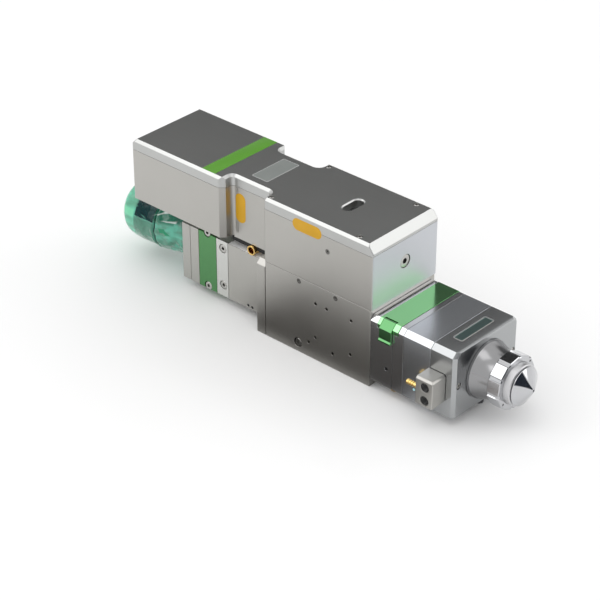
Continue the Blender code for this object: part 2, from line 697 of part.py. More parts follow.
def drive_housing(material, head):
    """One milled box: motor bay at the rear, neck over the coupling, and screw bay at the front."""
    obj = add_object("drive_housing", loft("z", [(HOUSING_Z0, housing_plan()),
                                                 (HOUSING_Z1, housing_plan())]), material, head)
    reach = HALF_WIDTH + OVER
    top = HOUSING_Z1 + OVER
    bay_half = HALF_WIDTH - REAR_SIDE_WALL
    neck_half = NECK_HALF - NECK_WALL
    cut(
        obj,
        box(REAR_BOX_X0 - OVER, NECK_X0 + OVER, -reach, reach, HOUSING_Z0 - OVER,
            HOUSING_Z0 + REAR_BOX_LIFT),
        box(REAR_BOX_X0 + REAR_WALL, MOTOR_WALL_X0, -bay_half, bay_half,
            FLOOR_Z + REAR_BOX_LIFT, top),
        box(NECK_CAVITY_X0, NECK_CAVITY_X1, -neck_half, neck_half, FLOOR_Z, top),
        box(CAVITY_X0, CAVITY_X1, SIDE_WALL - HALF_WIDTH, HALF_WIDTH - SIDE_WALL, FLOOR_Z, top),
        arm_slot(HOUSING_Z0 - OVER, FLOOR_Z + OVER),
        drilled("x", (0, SCREW_Z), PILOT_R + GAP, MOTOR_WALL_X0 - OVER, NECK_CAVITY_X0 + OVER,
                ROUND),
        moved(stepped([(NECK_CAVITY_X1 - OVER, BEARING_R - BEARING_LIP),
                       (BEARING_X0 - GAP, BEARING_R + GAP), (CAVITY_X0 + OVER, 0)], ROUND),
              (0, 0, SCREW_Z)),
        moved(stepped([(CAVITY_X1 - OVER, FREE_BEARING_R + GAP),
                       (FREE_BEARING_X0 + FREE_BEARING_WIDTH + GAP, PLUG_SHANK_R + GAP),
                       (PLUG_X0 - GAP, PLUG_R + GAP), (HOUSING_FRONT_X + OVER, 0)], SMALL),
              (0, 0, SCREW_Z)),
        drilled("x", (CONNECTOR_Y, CONNECTOR_Z), CONNECTOR_THROAT_R + GAP, REAR_BOX_X0 - OVER,
                REAR_BOX_X0 + REAR_WALL + OVER),
    )
    return obj


def arm_slot(low, high):
    """The slot that the carriage arm travels in, through the housing floor and the centre block."""
    half_x = ARM_LENGTH / 2 + FOCUS_TRAVEL + ARM_CLEARANCE
    half_y = ARM_WIDTH / 2 + ARM_CLEARANCE
    return box(-half_x, half_x, -half_y, half_y, low, high)


def top_cover(material, head):
    """A thick milled cover: wide chamfers front and rear, narrow ones along the sides, and a slot."""
    front_z = COVER_Z1 - COVER_FRONT_DROP
    rear_z = COVER_Z1 - COVER_REAR_CHAMFER
    side_z = COVER_Z1 - COVER_SIDE_CHAMFER

    def section(level):
        rise_front = max(0.0, level - front_z) / COVER_FRONT_DROP
        return level, housing_plan(max(0.0, level - side_z), max(0.0, level - rear_z),
                                   rise_front * COVER_FRONT_RUN)

    levels = (COVER_Z0, front_z, rear_z, side_z, COVER_Z1)
    obj = add_object("top_cover", loft("z", [section(level) for level in levels]), material, head)
    wide_x = SLOT_HALF_X + SLOT_CHAMFER
    wide_y = SLOT_HALF_Y + SLOT_CHAMFER
    above = OVER
    cut(
        obj,
        prism("z", stadium(SLOT_X, SLOT_HALF_X, SLOT_HALF_Y), COVER_Z0 - OVER, COVER_Z1 + OVER),
        loft("z", [
            (COVER_Z1 - SLOT_CHAMFER, stadium(SLOT_X, SLOT_HALF_X, SLOT_HALF_Y)),
            (COVER_Z1 + above, stadium(SLOT_X, wide_x + above, wide_y + above)),
        ]),
        prism("z", stadium(SLOT_X, SLOT_HALF_X + WINDOW_REBATE + GAP,
                           SLOT_HALF_Y + WINDOW_REBATE + GAP),
              COVER_Z0 - OVER, COVER_Z0 + WINDOW_THICKNESS + 2 * GAP),
    )
    for x in COVER_SCREWS_X:
        for y in (-COVER_SCREW_Y, COVER_SCREW_Y):
            cut(obj, drilled("z", (x, y), COVER_SCREW_R, COVER_Z1 - COVER_SCREW_DEPTH,
                             COVER_Z1 + OVER, 16))
    return obj


def sight_window(material, head):
    outline = stadium(SLOT_X, SLOT_HALF_X + WINDOW_REBATE, SLOT_HALF_Y + WINDOW_REBATE)
    low = COVER_Z0 + GAP
    return add_object("sight_window", prism("z", outline, low, low + WINDOW_THICKNESS),
                      material, head)


def chamfered_square(size, corner):
    """A square outline about the origin with its corners cut off."""
    half = size / 2
    near = half - corner
    return [(near, -half), (half, -near), (half, near), (near, half), (-near, half),
            (-half, near), (-half, -near), (-near, -half)]


def servo_motor(material, cover_material, shaft_material, screw_axis, turning):
    """A flange-mounted servo motor: stator with its flange, encoder cover and shaft."""
    back = MOTOR_FACE_X - MOTOR_LENGTH
    stator_back = back + ENCODER_LENGTH + GAP
    flange_back = MOTOR_FACE_X - MOTOR_FLANGE
    stator = add_object("servo_motor", loft("x", [
        (stator_back, chamfered_square(MOTOR_BODY_SIZE, MOTOR_CORNER)),
        (flange_back, chamfered_square(MOTOR_BODY_SIZE, MOTOR_CORNER)),
        (flange_back, chamfered_square(MOTOR_SIZE, MOTOR_CORNER / 4)),
        (MOTOR_FACE_X, chamfered_square(MOTOR_SIZE, MOTOR_CORNER / 4)),
    ]), material, screw_axis)
    unite(stator, rod(flange_back, MOTOR_FACE_X + PILOT_LENGTH, PILOT_R, ROUND))
    cut(stator, rod(MOTOR_FACE_X - SHAFT_IN - GAP, MOTOR_FACE_X + PILOT_LENGTH + OVER,
                    SHAFT_R + GAP))
    for y in (-MOTOR_HOLE, MOTOR_HOLE):
        for z in (-MOTOR_HOLE, MOTOR_HOLE):
            cut(stator, drilled("x", (y, z), MOTOR_HOLE_R, flange_back - OVER / 2,
                                MOTOR_FACE_X + OVER, 12))
    corner = MOTOR_CORNER
    add_object("encoder_cover", loft("x", [
        (back, chamfered_square(ENCODER_SIZE - corner, corner)),
        (back + corner / 2, chamfered_square(ENCODER_SIZE, corner)),
        (back + ENCODER_LENGTH, chamfered_square(ENCODER_SIZE, corner)),
    ]), cover_material, screw_axis)
    add_object("motor_shaft", rod(MOTOR_FACE_X - SHAFT_IN, MOTOR_HUB_X0 + HUB_LENGTH, SHAFT_R),
               shaft_material, turning, smooth=True)


def sector(inner, outer, middle, sweep, steps=3):
    """A piece of a ring about the origin, as an outline in Y and Z."""
    start = middle - sweep / 2
    end = middle + sweep / 2
    return arc((0, 0), outer, start, end, steps) + arc((0, 0), inner, end, start, steps)


def coupling(material, spider_material, turning):
    """A jaw coupling: two hubs whose jaws stand between the arms of an elastic spider."""
    pitch = math.tau / JAW_COUNT
    hubs = (("coupling_motor_hub", MOTOR_HUB_X0, 1, 0.0),
            ("coupling_screw_hub", SCREW_HUB_X0, -1, pitch / 2))
    for name, x0, side, phase in hubs:
        x1 = x0 + HUB_LENGTH
        hub = add_object(name, ring(x0, x1, SHAFT_R + GAP, COUPLING_R, SMALL), material, turning,
                         smooth=True)
        face = x1 if side > 0 else x0
        for jaw in range(JAW_COUNT):
            outline = sector(JAW_INNER_R + GAP, COUPLING_R, phase + jaw * pitch, JAW_ANGLE)
            low, high = sorted((face - side * OVER / 2, face + side * JAW_LENGTH))
            unite(hub, prism("x", outline, low, high))
    arms = 2 * JAW_COUNT
    outline = []
    arm_angle = pitch / 2 - JAW_ANGLE - 2 * GAP / JAW_INNER_R
    for arm in range(arms):
        middle = (arm + 0.5) * math.tau / arms
        start = middle - arm_angle / 2
        end = middle + arm_angle / 2
        outline.append((JAW_INNER_R * math.cos(start), JAW_INNER_R * math.sin(start)))
        outline += arc((0, 0), COUPLING_R - GAP, start, end, 2)
        outline.append((JAW_INNER_R * math.cos(end), JAW_INNER_R * math.sin(end)))
    spider = prism("x", outline, SPIDER_X0, SPIDER_X0 + SPIDER_THICKNESS)
    add_object("coupling_spider", spider, spider_material, turning)


def ball_screw(material, bearing_material, plug_material, turning, screw_axis):
    """The screw with its two bearings, and the plug that closes the housing in front of it."""
    thread_x0 = CAVITY_X0 + THREAD_END_REAR
    thread_x1 = CAVITY_X1 - THREAD_END_FRONT
    journal_x1 = FREE_BEARING_X0 + FREE_BEARING_WIDTH - GAP
    add_object("ball_screw", turned([
        (SCREW_HUB_X0, 0), (SCREW_HUB_X0, SHAFT_R), (thread_x0, SHAFT_R), (thread_x0, SCREW_R),
        (thread_x1, SCREW_R), (thread_x1, SHAFT_R), (journal_x1, SHAFT_R), (journal_x1, 0),
    ], SMALL), material, turning, smooth=True)
    add_object("fixed_bearing", ring(BEARING_X0, BEARING_X0 + BEARING_WIDTH, SHAFT_R + RUN,
                                     BEARING_R), bearing_material, screw_axis, smooth=True)
    add_object("free_bearing", ring(FREE_BEARING_X0, FREE_BEARING_X0 + FREE_BEARING_WIDTH,
                                    SHAFT_R + RUN, FREE_BEARING_R, SMALL), bearing_material,
               screw_axis, smooth=True)
    shank_x0 = FREE_BEARING_X0 + FREE_BEARING_WIDTH + GAP
    plug = add_object("screw_end_plug", turned([
        (shank_x0, 0), (shank_x0, PLUG_SHANK_R), (PLUG_X0, PLUG_SHANK_R), (PLUG_X0, PLUG_R),
        (PLUG_X0 + PLUG_HEAD - GAP, PLUG_R), (PLUG_X0 + PLUG_HEAD, PLUG_R - GAP),
        (PLUG_X0 + PLUG_HEAD, 0),
    ], SMALL), plug_material, screw_axis, smooth=True)
    cut(plug, rod(PLUG_X0 + GAP, PLUG_X0 + PLUG_HEAD + OVER, PLUG_SOCKET_R, 6))


def ball_nut(material, carriage_axis):
    """A flanged ball nut whose flange has two flats."""
    body_x1 = NUT_HOUSING_X0 + NUT_LENGTH
    nut = add_object("ball_nut", turned([
        (NUT_FLANGE_X0, SCREW_R + RUN), (NUT_FLANGE_X0, NUT_FLANGE_R),
        (NUT_FLANGE_X0 + NUT_FLANGE, NUT_FLANGE_R), (NUT_FLANGE_X0 + NUT_FLANGE, NUT_R),
        (body_x1, NUT_R), (body_x1, SCREW_R + RUN),
    ], ROUND), material, carriage_axis, smooth=True)
    for side in (-1, 1):
        z0, z1 = sorted((side * NUT_FLANGE_FLAT, side * (NUT_FLANGE_R + OVER)))
        cut(nut, box(NUT_FLANGE_X0 - OVER, NUT_FLANGE_X0 + NUT_FLANGE + OVER, -NUT_FLANGE_R - OVER,
                     NUT_FLANGE_R + OVER, z0, z1))


def linear_guides(rail_material, block_material, head, carriage_axis):
    """Two rails on the housing floor, each with a block that the carriage is bolted to."""
    for label, y in (("near", -RAIL_Y), ("far", RAIL_Y)):
        half = RAIL_WIDTH / 2
        waist = half - RAIL_WAIST
        low = RAIL_Z
        high = RAIL_Z + RAIL_HEIGHT
        foot, brow, shoulder = (low + RAIL_HEIGHT * share for share in RAIL_GROOVE)
        outline = [(y - half, low), (y + half, low), (y + waist, foot), (y + waist, brow),
                   (y + half, shoulder), (y + half, high), (y - half, high), (y - half, shoulder),
                   (y - waist, brow), (y - waist, foot)]
        add_object(f"linear_rail_{label}", prism("x", outline, RAIL_X0, RAIL_X0 + RAIL_LENGTH),
                   rail_material, head)
        outer = RAIL_BLOCK_WIDTH / 2
        inner = half + RUN
        under = RAIL_Z + RAIL_BLOCK_FOOT
        roof = high + RUN
        top = RAIL_BLOCK_TOP
        outline = [(-outer, under), (-inner, under), (-inner, roof), (inner, roof), (inner, under),
                   (outer, under), (outer, top), (-outer, top)]
        shifted = [(y + across, z - SCREW_Z) for across, z in outline]
        add_object(f"rail_block_{label}", prism("x", shifted, -RAIL_BLOCK_LENGTH / 2,
                                                RAIL_BLOCK_LENGTH / 2), block_material,
                   carriage_axis)


def lens_carriage(material, carriage_axis):
    """Plate on the rail blocks, nut housing above it, and an arm down to the clamp on the barrel."""
    plate_z0 = CARRIAGE_Z - SCREW_Z
    plate_z1 = plate_z0 + CARRIAGE_PLATE
    beam_z = BEAM_Z - SCREW_Z
    clamp_inner = BARREL_R + GAP
    clamp_outer = clamp_inner + CLAMP_WALL
    half_arm = ARM_LENGTH / 2
    obj = add_object("lens_carriage", box(-CARRIAGE_LENGTH / 2, CARRIAGE_LENGTH / 2,
                                          -CARRIAGE_WIDTH / 2, CARRIAGE_WIDTH / 2, plate_z0,
                                          plate_z1), material, carriage_axis)
    unite(
        obj,
        box(NUT_HOUSING_X0, NUT_HOUSING_X0 + NUT_HOUSING_LENGTH, -NUT_HOUSING_WIDTH / 2,
            NUT_HOUSING_WIDTH / 2, plate_z0 + OVER, NUT_HOUSING_Z1 - SCREW_Z),
        box(-half_arm, half_arm, -ARM_WIDTH / 2, ARM_WIDTH / 2,
            beam_z + clamp_inner + CLAMP_WALL / 3, plate_z1 - OVER),
        moved(ring(-half_arm, half_arm, clamp_inner, clamp_outer), (0, 0, beam_z)),
    )
    cut(
        obj,
        rod(NUT_HOUSING_X0 - OVER, NUT_HOUSING_X0 + NUT_HOUSING_LENGTH + OVER, NUT_R + GAP, ROUND),
        box(NUT_FLANGE_X0 - CARRIAGE_LENGTH, NUT_HOUSING_X0, -NUT_FLANGE_R - GAP,
            NUT_FLANGE_R + GAP, -NUT_FLANGE_FLAT - GAP, plate_z1 + OVER),
        rod(NUT_HOUSING_X0 + OVER, CARRIAGE_LENGTH, NUT_R + GAP, ROUND),
    )
    flag_z1 = SENSOR_Z - SCREW_Z + FLAG_THICKNESS / 2
    unite(
        obj,
        box(-FLAG_HALF, FLAG_HALF, FLAG_Y, FLAG_Y + FLAG_THICKNESS, plate_z1 - OVER, flag_z1),
        box(-FLAG_HALF, FLAG_HALF, FLAG_Y, HALF_WIDTH - SIDE_WALL - SENSOR_DEPTH + FLAG_REACH,
            flag_z1 - FLAG_THICKNESS, flag_z1),
    )
    return obj


def scale_plate(material, carriage_axis):
    """The graduated plate on the carriage that shows through the slot in the cover."""
    low = NUT_HOUSING_Z1 + GAP - SCREW_Z
    outline = rounded_rectangle(SCALE_SHIFT, SCALE_LENGTH / 2, SCALE_WIDTH / 2, SCALE_CORNER_R)
    return add_object("scale_plate", prism("z", outline, low, low + SCALE_THICKNESS), material,
                      carriage_axis)


def limit_sensors(material, head):
    """A circuit board on the far wall with a fork sensor at each end of the travel."""
    wall = HALF_WIDTH - SIDE_WALL - GAP
    low = SENSOR_Z - SENSOR_BOARD_HEIGHT / 2
    half = SENSOR_BOARD_LENGTH / 2
    obj = add_object("limit_sensors", box(-half, half, wall - SENSOR_BOARD, wall, low,
                                          low + SENSOR_BOARD_HEIGHT), material, head)
    for side in (-1, 1):
        outer = side * (half - SENSOR_BOARD)
        x0, x1 = sorted((outer, outer - side * SENSOR_WIDTH))
        y1 = wall - SENSOR_BOARD / 2
        unite(obj, box(x0, x1, y1 - SENSOR_DEPTH, y1, SENSOR_Z - SENSOR_HEIGHT / 2,
                       SENSOR_Z + SENSOR_HEIGHT / 2))
        cut(obj, box(x0 - OVER, x1 + OVER, y1 - SENSOR_DEPTH - OVER, wall - SENSOR_BOARD - GAP,
                     SENSOR_Z - SENSOR_FORK / 2, SENSOR_Z + SENSOR_FORK / 2))
    return obj


def lens_outline(x0, edge, sag, radius, steps=3):
    """Half the section of a plano-convex lens, from the axis round to the axis again."""
    curve = (radius ** 2 + sag ** 2) / (2 * sag)
    outline = [(x0, 0), (x0, radius)]
    for i in range(steps):
        height = radius * (1 - i / steps)
        rise = math.sqrt(curve ** 2 - height ** 2) - (curve - sag)
        outline.append((x0 + edge + rise, height))
    outline.append((x0 + edge + sag, 0))
    return outline


def focusing_lens(barrel_material, glass, retainer_material, carriage_beam):
    """The lens barrel in the clamp, its lens and the threaded ring that holds the lens."""
    half = BARREL_LENGTH / 2
    pocket = FOCUS_LENS_R + GAP
    add_object("focus_barrel", turned([
        (-half, BARREL_INNER_R), (-half, BARREL_R - BARREL_EDGE), (BARREL_EDGE - half, BARREL_R),
        (half - BARREL_EDGE, BARREL_R), (half, BARREL_R - BARREL_EDGE), (half, pocket),
        (LENS_POCKET_X, pocket), (LENS_POCKET_X, BARREL_INNER_R),
    ], ROUND), barrel_material, carriage_beam, smooth=True)
    lens_x0 = LENS_POCKET_X + GAP
    add_object("focus_lens", turned(lens_outline(lens_x0, FOCUS_LENS_EDGE, FOCUS_LENS_SAG,
                                                 FOCUS_LENS_R), ROUND), glass, carriage_beam,
               smooth=True)
    retainer_x0 = lens_x0 + FOCUS_LENS_EDGE + FOCUS_LENS_SAG * RETAINER_SEAT
    add_object("focus_retainer", ring(retainer_x0, retainer_x0 + RETAINER_WIDTH,
                                      FOCUS_LENS_R - RETAINER_WALL + GAP, FOCUS_LENS_R),
               retainer_material, carriage_beam, smooth=True)


def centre_block(material, head):
    """The block that carries everything: barrel bore along the beam, mounting holes underneath."""
    obj = add_object("centre_block", box(CENTRE_X0, CENTRE_X1, -HALF_WIDTH, HALF_WIDTH, 0,
                                         CENTRE_HEIGHT), material, head)
    cut(obj, drilled("x", (0, BEAM_Z), BARREL_BORE_R, CENTRE_X0 - OVER, CENTRE_X1 + OVER, ROUND),
        arm_slot(BEAM_Z + BARREL_BORE_R / 2, CENTRE_HEIGHT + OVER))
    for x in (-MOUNT_HOLE_X, MOUNT_HOLE_X):
        for y in (-MOUNT_HOLE_Y, MOUNT_HOLE_Y):
            cut(obj, drilled("z", (x, y), MOUNT_HOLE_R, -OVER, MOUNT_HOLE_DEPTH, 12))
    for x, z in SIDE_HOLES_XZ:
        cut(obj, drilled("y", (x * MM, z * MM), SIDE_HOLE_R, -HALF_WIDTH - OVER,
                         SIDE_HOLE_DEPTH - HALF_WIDTH, 12))
    x, z = SIDE_SCREW_XZ
    cut(obj, drilled("y", (x * MM, z * MM), SIDE_SCREW_R, -HALF_WIDTH - OVER,
                     SIDE_HOLE_DEPTH - HALF_WIDTH, 16))
    return obj


def collimator_section(name, material, head, x0, x1, bore):
    """One block of the square collimator stack, with the beam bore through it."""
    outline = rectangle(COLLIMATOR_HALF, UNDERSIDE_Z, COLLIMATOR_TOP)
    obj = add_object(name, prism("x", outline, x0, x1), material, head)
    cut(obj, drilled("x", (0, BEAM_Z), bore, x0 - OVER, x1 + OVER, ROUND))
    return obj


def collimator_stack(silver, green, head):
    """The blocks from the centre block back to the fiber."""
    flange = add_object("rear_flange", prism("x", body_outline(HALF_WIDTH, 0, REAR_FLANGE_HEIGHT,
                                                               DECK_CHAMFER), FLANGE_X0,
                                             FLANGE_X1), silver, head)
    cut(flange, drilled("x", (0, BEAM_Z), CELL_BORE_R, FLANGE_X0 - OVER, FLANGE_X1 + OVER, ROUND))
    collimator_section("collimator_block", silver, head, COLLIMATOR_X0, COLLIMATOR_X1,
                       CELL_BORE_R)
    clamp = collimator_section("collimator_clamp", silver, head, CLAMP_X0, CLAMP_X1, BEAM_BORE_R)
    cover = collimator_section("collimator_cover", green, head, COVER_X0, COVER_X1, BEAM_BORE_R)
    collimator_section("rear_spacer", silver, head, SPACER_X0, SPACER_X1, BEAM_BORE_R)
    collimator_section("fiber_flange", silver, head, FIBER_FLANGE_X0, FIBER_FLANGE_X1,
                       BEAM_BORE_R)
    for block, x, reach in ((clamp, (CLAMP_X0 + CLAMP_X1) / 2 + CLAMP_SCREW_SHIFT, CLAMP_SCREW_Z),
                            (cover, (COVER_X0 + COVER_X1) / 2, COVER_NOTCH_Z)):
        for z in (BEAM_Z - reach, BEAM_Z + reach):
            for side in (-1, 1):
                low, high = sorted((side * (COLLIMATOR_HALF + OVER),
                                    side * (COLLIMATOR_HALF - COLLIMATOR_SCREW_DEPTH)))
                cut(block, drilled("y", (x, z), COLLIMATOR_SCREW_R, low, high))


def collimating_lens(cell_material, glass, beam_axis):
    """The collimating lens in its cell inside the collimator block."""
    outer = CELL_BORE_R - GAP
    pocket = COLLIMATOR_LENS_R + GAP
    shoulder_x = CELL_X + CELL_LENGTH * CELL_SHOULDER
    add_object("collimator_cell", turned([
        (CELL_X, outer - CELL_WALL), (CELL_X, outer), (CELL_X + CELL_LENGTH, outer),
        (CELL_X + CELL_LENGTH, pocket), (shoulder_x, pocket),
        (shoulder_x, outer - CELL_WALL),
    ], ROUND), cell_material, beam_axis, smooth=True)
    outline = lens_outline(shoulder_x + GAP, COLLIMATOR_LENS_EDGE, COLLIMATOR_LENS_SAG,
                           COLLIMATOR_LENS_R)
    add_object("collimator_lens", turned(outline, ROUND), glass, beam_axis, smooth=True)


def water_fitting(material, head):
    """A brass fitting that lies on top of the collimator block with its mouth to the side."""
    mouth = FITTING_LENGTH
    edge = FITTING_EDGE
    outline = [(0, 0), (0, FITTING_R - edge), (edge, FITTING_R), (mouth - edge, FITTING_R),
               (mouth, FITTING_R - edge), (mouth, FITTING_BORE_R), (FITTING_END, FITTING_BORE_R),
               (FITTING_END, 0)]
    y = -COLLIMATOR_HALF - FITTING_PROUD + FITTING_LENGTH
    return add_object("water_fitting", turned(outline, SMALL), material, head,
                      (FITTING_X, y, FITTING_Z), (0, 0, -math.pi / 2), smooth=True)


def neck_pad(material, head):
    """The rubber pad between the collimator block and the neck, notched round the fitting."""
    x1 = COLLIMATOR_X1 - GAP
    low = COLLIMATOR_TOP + GAP
    high = HOUSING_Z0 - GAP
    notch = FITTING_R + GAP
    inner = FITTING_LENGTH - COLLIMATOR_HALF - FITTING_PROUD + GAP
    outline = [(x1 - PAD_LENGTH, -PAD_HALF), (FITTING_X - notch, -PAD_HALF),
               (FITTING_X - notch, inner), (FITTING_X + notch, inner),
               (FITTING_X + notch, -PAD_HALF), (x1, -PAD_HALF), (x1, PAD_HALF),
               (x1 - PAD_LENGTH, PAD_HALF)]
    return add_object("neck_pad", prism("z", outline, low, high), material, head)


def fiber_receptacle(material, beam_axis):
    """The receptacle that takes the fiber connector, with a groove for the lock collar."""
    mouth_x = RECEPTACLE_X0 + FIBER_BORE_DEPTH
    add_object("fiber_receptacle", turned([
        (RECEPTACLE_X1, FIBER_THROAT_R), (RECEPTACLE_X1, RECEPTACLE_FLANGE_R),
        (RECEPTACLE_BODY_X1, RECEPTACLE_FLANGE_R), (RECEPTACLE_BODY_X1, RECEPTACLE_BODY_R),
        (COLLAR_SEAT_X1, RECEPTACLE_BODY_R), (COLLAR_SEAT_X1, COLLAR_SEAT_R),
        (SNAP_RING_X1, COLLAR_SEAT_R), (SNAP_RING_X1, RECEPTACLE_BODY_R),
        (RECEPTACLE_X0, RECEPTACLE_BODY_R), (RECEPTACLE_X0, FIBER_BORE_R),
        (mouth_x, FIBER_BORE_R), (mouth_x, FIBER_THROAT_R),
    ], ROUND), material, beam_axis, smooth=True)


def fiber_collar(material, beam_axis):
    """The bayonet collar, fluted for grip, that turns on the receptacle."""
    outline = []
    pitch = math.tau / COLLAR_FLUTES
    flute = pitch * COLLAR_FLUTE_SHARE
    for i in range(COLLAR_FLUTES):
        middle = i * pitch
        outline += arc((0, 0), COLLAR_R, middle + flute / 2, middle + pitch - flute / 2, 4)
        root = middle + pitch
        outline.append(((COLLAR_R - COLLAR_FLUTE_DEPTH) * math.cos(root),
                        (COLLAR_R - COLLAR_FLUTE_DEPTH) * math.sin(root)))
    obj = add_object("fiber_collar", prism("x", outline, COLLAR_X0, COLLAR_X1), material,
                     beam_axis)
    cut(obj, rod(COLLAR_X0 - OVER, COLLAR_X1 + OVER, COLLAR_SEAT_R + RUN, ROUND))
    return obj


def fiber_cap(material, beam_axis):
    """The plug and cap that keep dust out of the receptacle."""
    x1 = RECEPTACLE_X0 - GAP
    x0 = x1 - CAP_LENGTH
    add_object("fiber_cap", turned([
        (x0, 0), (x0, CAP_R - CAP_EDGE), (x0 + CAP_EDGE, CAP_R), (x1, CAP_R), (x1, FIBER_BORE_R - GAP),
        (x1 + CAP_STEM, FIBER_BORE_R - GAP), (x1 + CAP_STEM, 0),
    ], ROUND), material, beam_axis, smooth=True)


def film_wrap(material, beam_axis):
    """The plastic film drawn over the receptacle like a bag, open where it grips the flange."""
    mouth = RECEPTACLE_X1
    outer = [(mouth + x * MM, RECEPTACLE_FLANGE_R + out * MM) for x, out in FILM_PROFILE]
    end_x = mouth - FILM_END
    inner = [(x + (0 if i < FILM_SIDE_POINTS else FILM_WALL), radius - FILM_WALL)
             for i, (x, radius) in enumerate(outer)]
    outline = [(end_x, 0)] + list(reversed(outer)) + inner + [(end_x + FILM_WALL, 0)]
    add_object("film_wrap", turned(outline, ROUND), material, beam_axis, smooth=True)


def cap_recess(x0, x1):
    """What the blocks lose to the drawer cap: all that lies outside the core under it."""
    wide = HALF_WIDTH + OVER
    top = DECK_Z + OVER
    low = DRAWER_SKIRT_Z - GAP
    core = body_outline(CORE_HALF, low, CORE_TOP_Z, DECK_CHAMFER - GAP)
    outline = [(wide, low)] + core[1:] + [core[0], (-wide, low), (-wide, top), (wide, top)]
    return prism("x", outline, x0, x1)


def window_housing(material, head):
    """The block that the drawer slides into, open on top and towards the seal plate."""
    x0, x1 = WINDOW_HOUSING_X0, WINDOW_HOUSING_X1
    obj = add_object("window_housing", prism("x", body_outline(HALF_WIDTH, UNDERSIDE_Z, DECK_Z,
                                                               DECK_CHAMFER), x0, x1), material,
                     head)
    pocket = TRAY_HALF + RUN
    cut(
        obj,
        drilled("x", (0, BEAM_Z), GLASS_R, x0 - OVER, x1 + OVER, ROUND),
        cap_recess(CAP_X0 - GAP, x1 + OVER),
        box(TRAY_X0 - RUN, x1 + OVER, -pocket, pocket, TRAY_BOTTOM_Z - RUN, DECK_Z + OVER),
    )
    return obj


def seal_plate(material, seal_material, head, beam_axis):
    """The block that closes the drawer's pocket, with the window's seal in its face."""
    x0, x1 = SEAL_PLATE_X0, SEAL_PLATE_X1
    obj = add_object("seal_plate", prism("x", body_outline(HALF_WIDTH, UNDERSIDE_Z, DECK_Z,
                                                           DECK_CHAMFER), x0, x1), material, head)
    groove = moved(ring(x0 - OVER, x0 + 2 * SEAL_SECTION + GAP, SEAL_R - SEAL_SECTION - GAP,
                        SEAL_R + SEAL_SECTION + GAP), (0, 0, BEAM_Z))
    cut(obj, drilled("x", (0, BEAM_Z), BEAM_BORE_R, x0 - OVER, x1 + OVER, ROUND),
        cap_recess(x0 - OVER, CAP_X1 + GAP), groove)
    centre = (x0 - GAP + SEAL_SECTION, SEAL_R)
    add_object("window_seal", turned(arc(centre, SEAL_SECTION, 0, math.tau * 5 / 6, 5), ROUND),
               seal_material, beam_axis, smooth=True)


def drawer_cap(material, drawer_axis):
    """The green cap over the deck, with a skirt on each side and a notch for the latch."""
    inner = body_outline(CAP_HALF - DRAWER_SIDE_WALL, DRAWER_SKIRT_Z, CAP_INNER_Z,
                         DECK_CHAMFER - GAP)
    outer = body_outline(CAP_HALF, DRAWER_SKIRT_Z, CAP_TOP_Z, DECK_CHAMFER)
    outline = outer[1:] + [outer[0], inner[0]] + list(reversed(inner[1:]))
    obj = add_object("drawer_cap", prism("x", outline, CAP_X0, CAP_X1), material, drawer_axis)
    cut(
        obj,
        box(LATCH_X0 - RUN, LATCH_X1 + RUN, -CAP_HALF - OVER, LATCH_PIN_Y + LATCH_HUB_R + RUN,
            DRAWER_SKIRT_Z - OVER, CAP_TOP_Z + OVER),
        drilled("x", (LATCH_PIN_Y, LATCH_PIN_Z), LATCH_PIN_R + GAP,
                LATCH_X0 - LATCH_PIN_GRIP - 2 * GAP, LATCH_X1 + LATCH_PIN_GRIP + 2 * GAP, 12),
    )
    return obj


def drawer_tray(material, drawer_axis):
    """The tray under the cap, with the stepped hole that the window sits in."""
    outline = rounded([
        (-TRAY_HALF, TRAY_BOTTOM_Z, TRAY_CORNER_R), (TRAY_HALF, TRAY_BOTTOM_Z, TRAY_CORNER_R),
        (TRAY_HALF, CAP_INNER_Z - GAP, 0), (-TRAY_HALF, CAP_INNER_Z - GAP, 0),
    ])
    obj = add_object("drawer_tray", prism("x", outline, TRAY_X0, TRAY_X1), material, drawer_axis)
    cut(obj, drilled("x", (0, BEAM_Z), GLASS_R - GLASS_LIP, TRAY_X0 - OVER, TRAY_X1 + OVER, ROUND),
        drilled("x", (0, BEAM_Z), GLASS_R + GAP, TRAY_X0 + GLASS_BACK, TRAY_X1 + OVER, ROUND))
    return obj


def protective_window(glass, ring_material, drawer_beam):
    """The protective window in the tray and the ring that holds it."""
    x0 = TRAY_X0 + GLASS_BACK + GAP
    add_object("window_glass", rod(x0, x0 + GLASS_THICKNESS, GLASS_R, ROUND), glass, drawer_beam,
               smooth=True)
    add_object("window_retainer", ring(x0 + GLASS_THICKNESS + GAP, TRAY_X1 - GAP,
                                       GLASS_R - GLASS_LIP, GLASS_R), ring_material, drawer_beam,
               smooth=True)


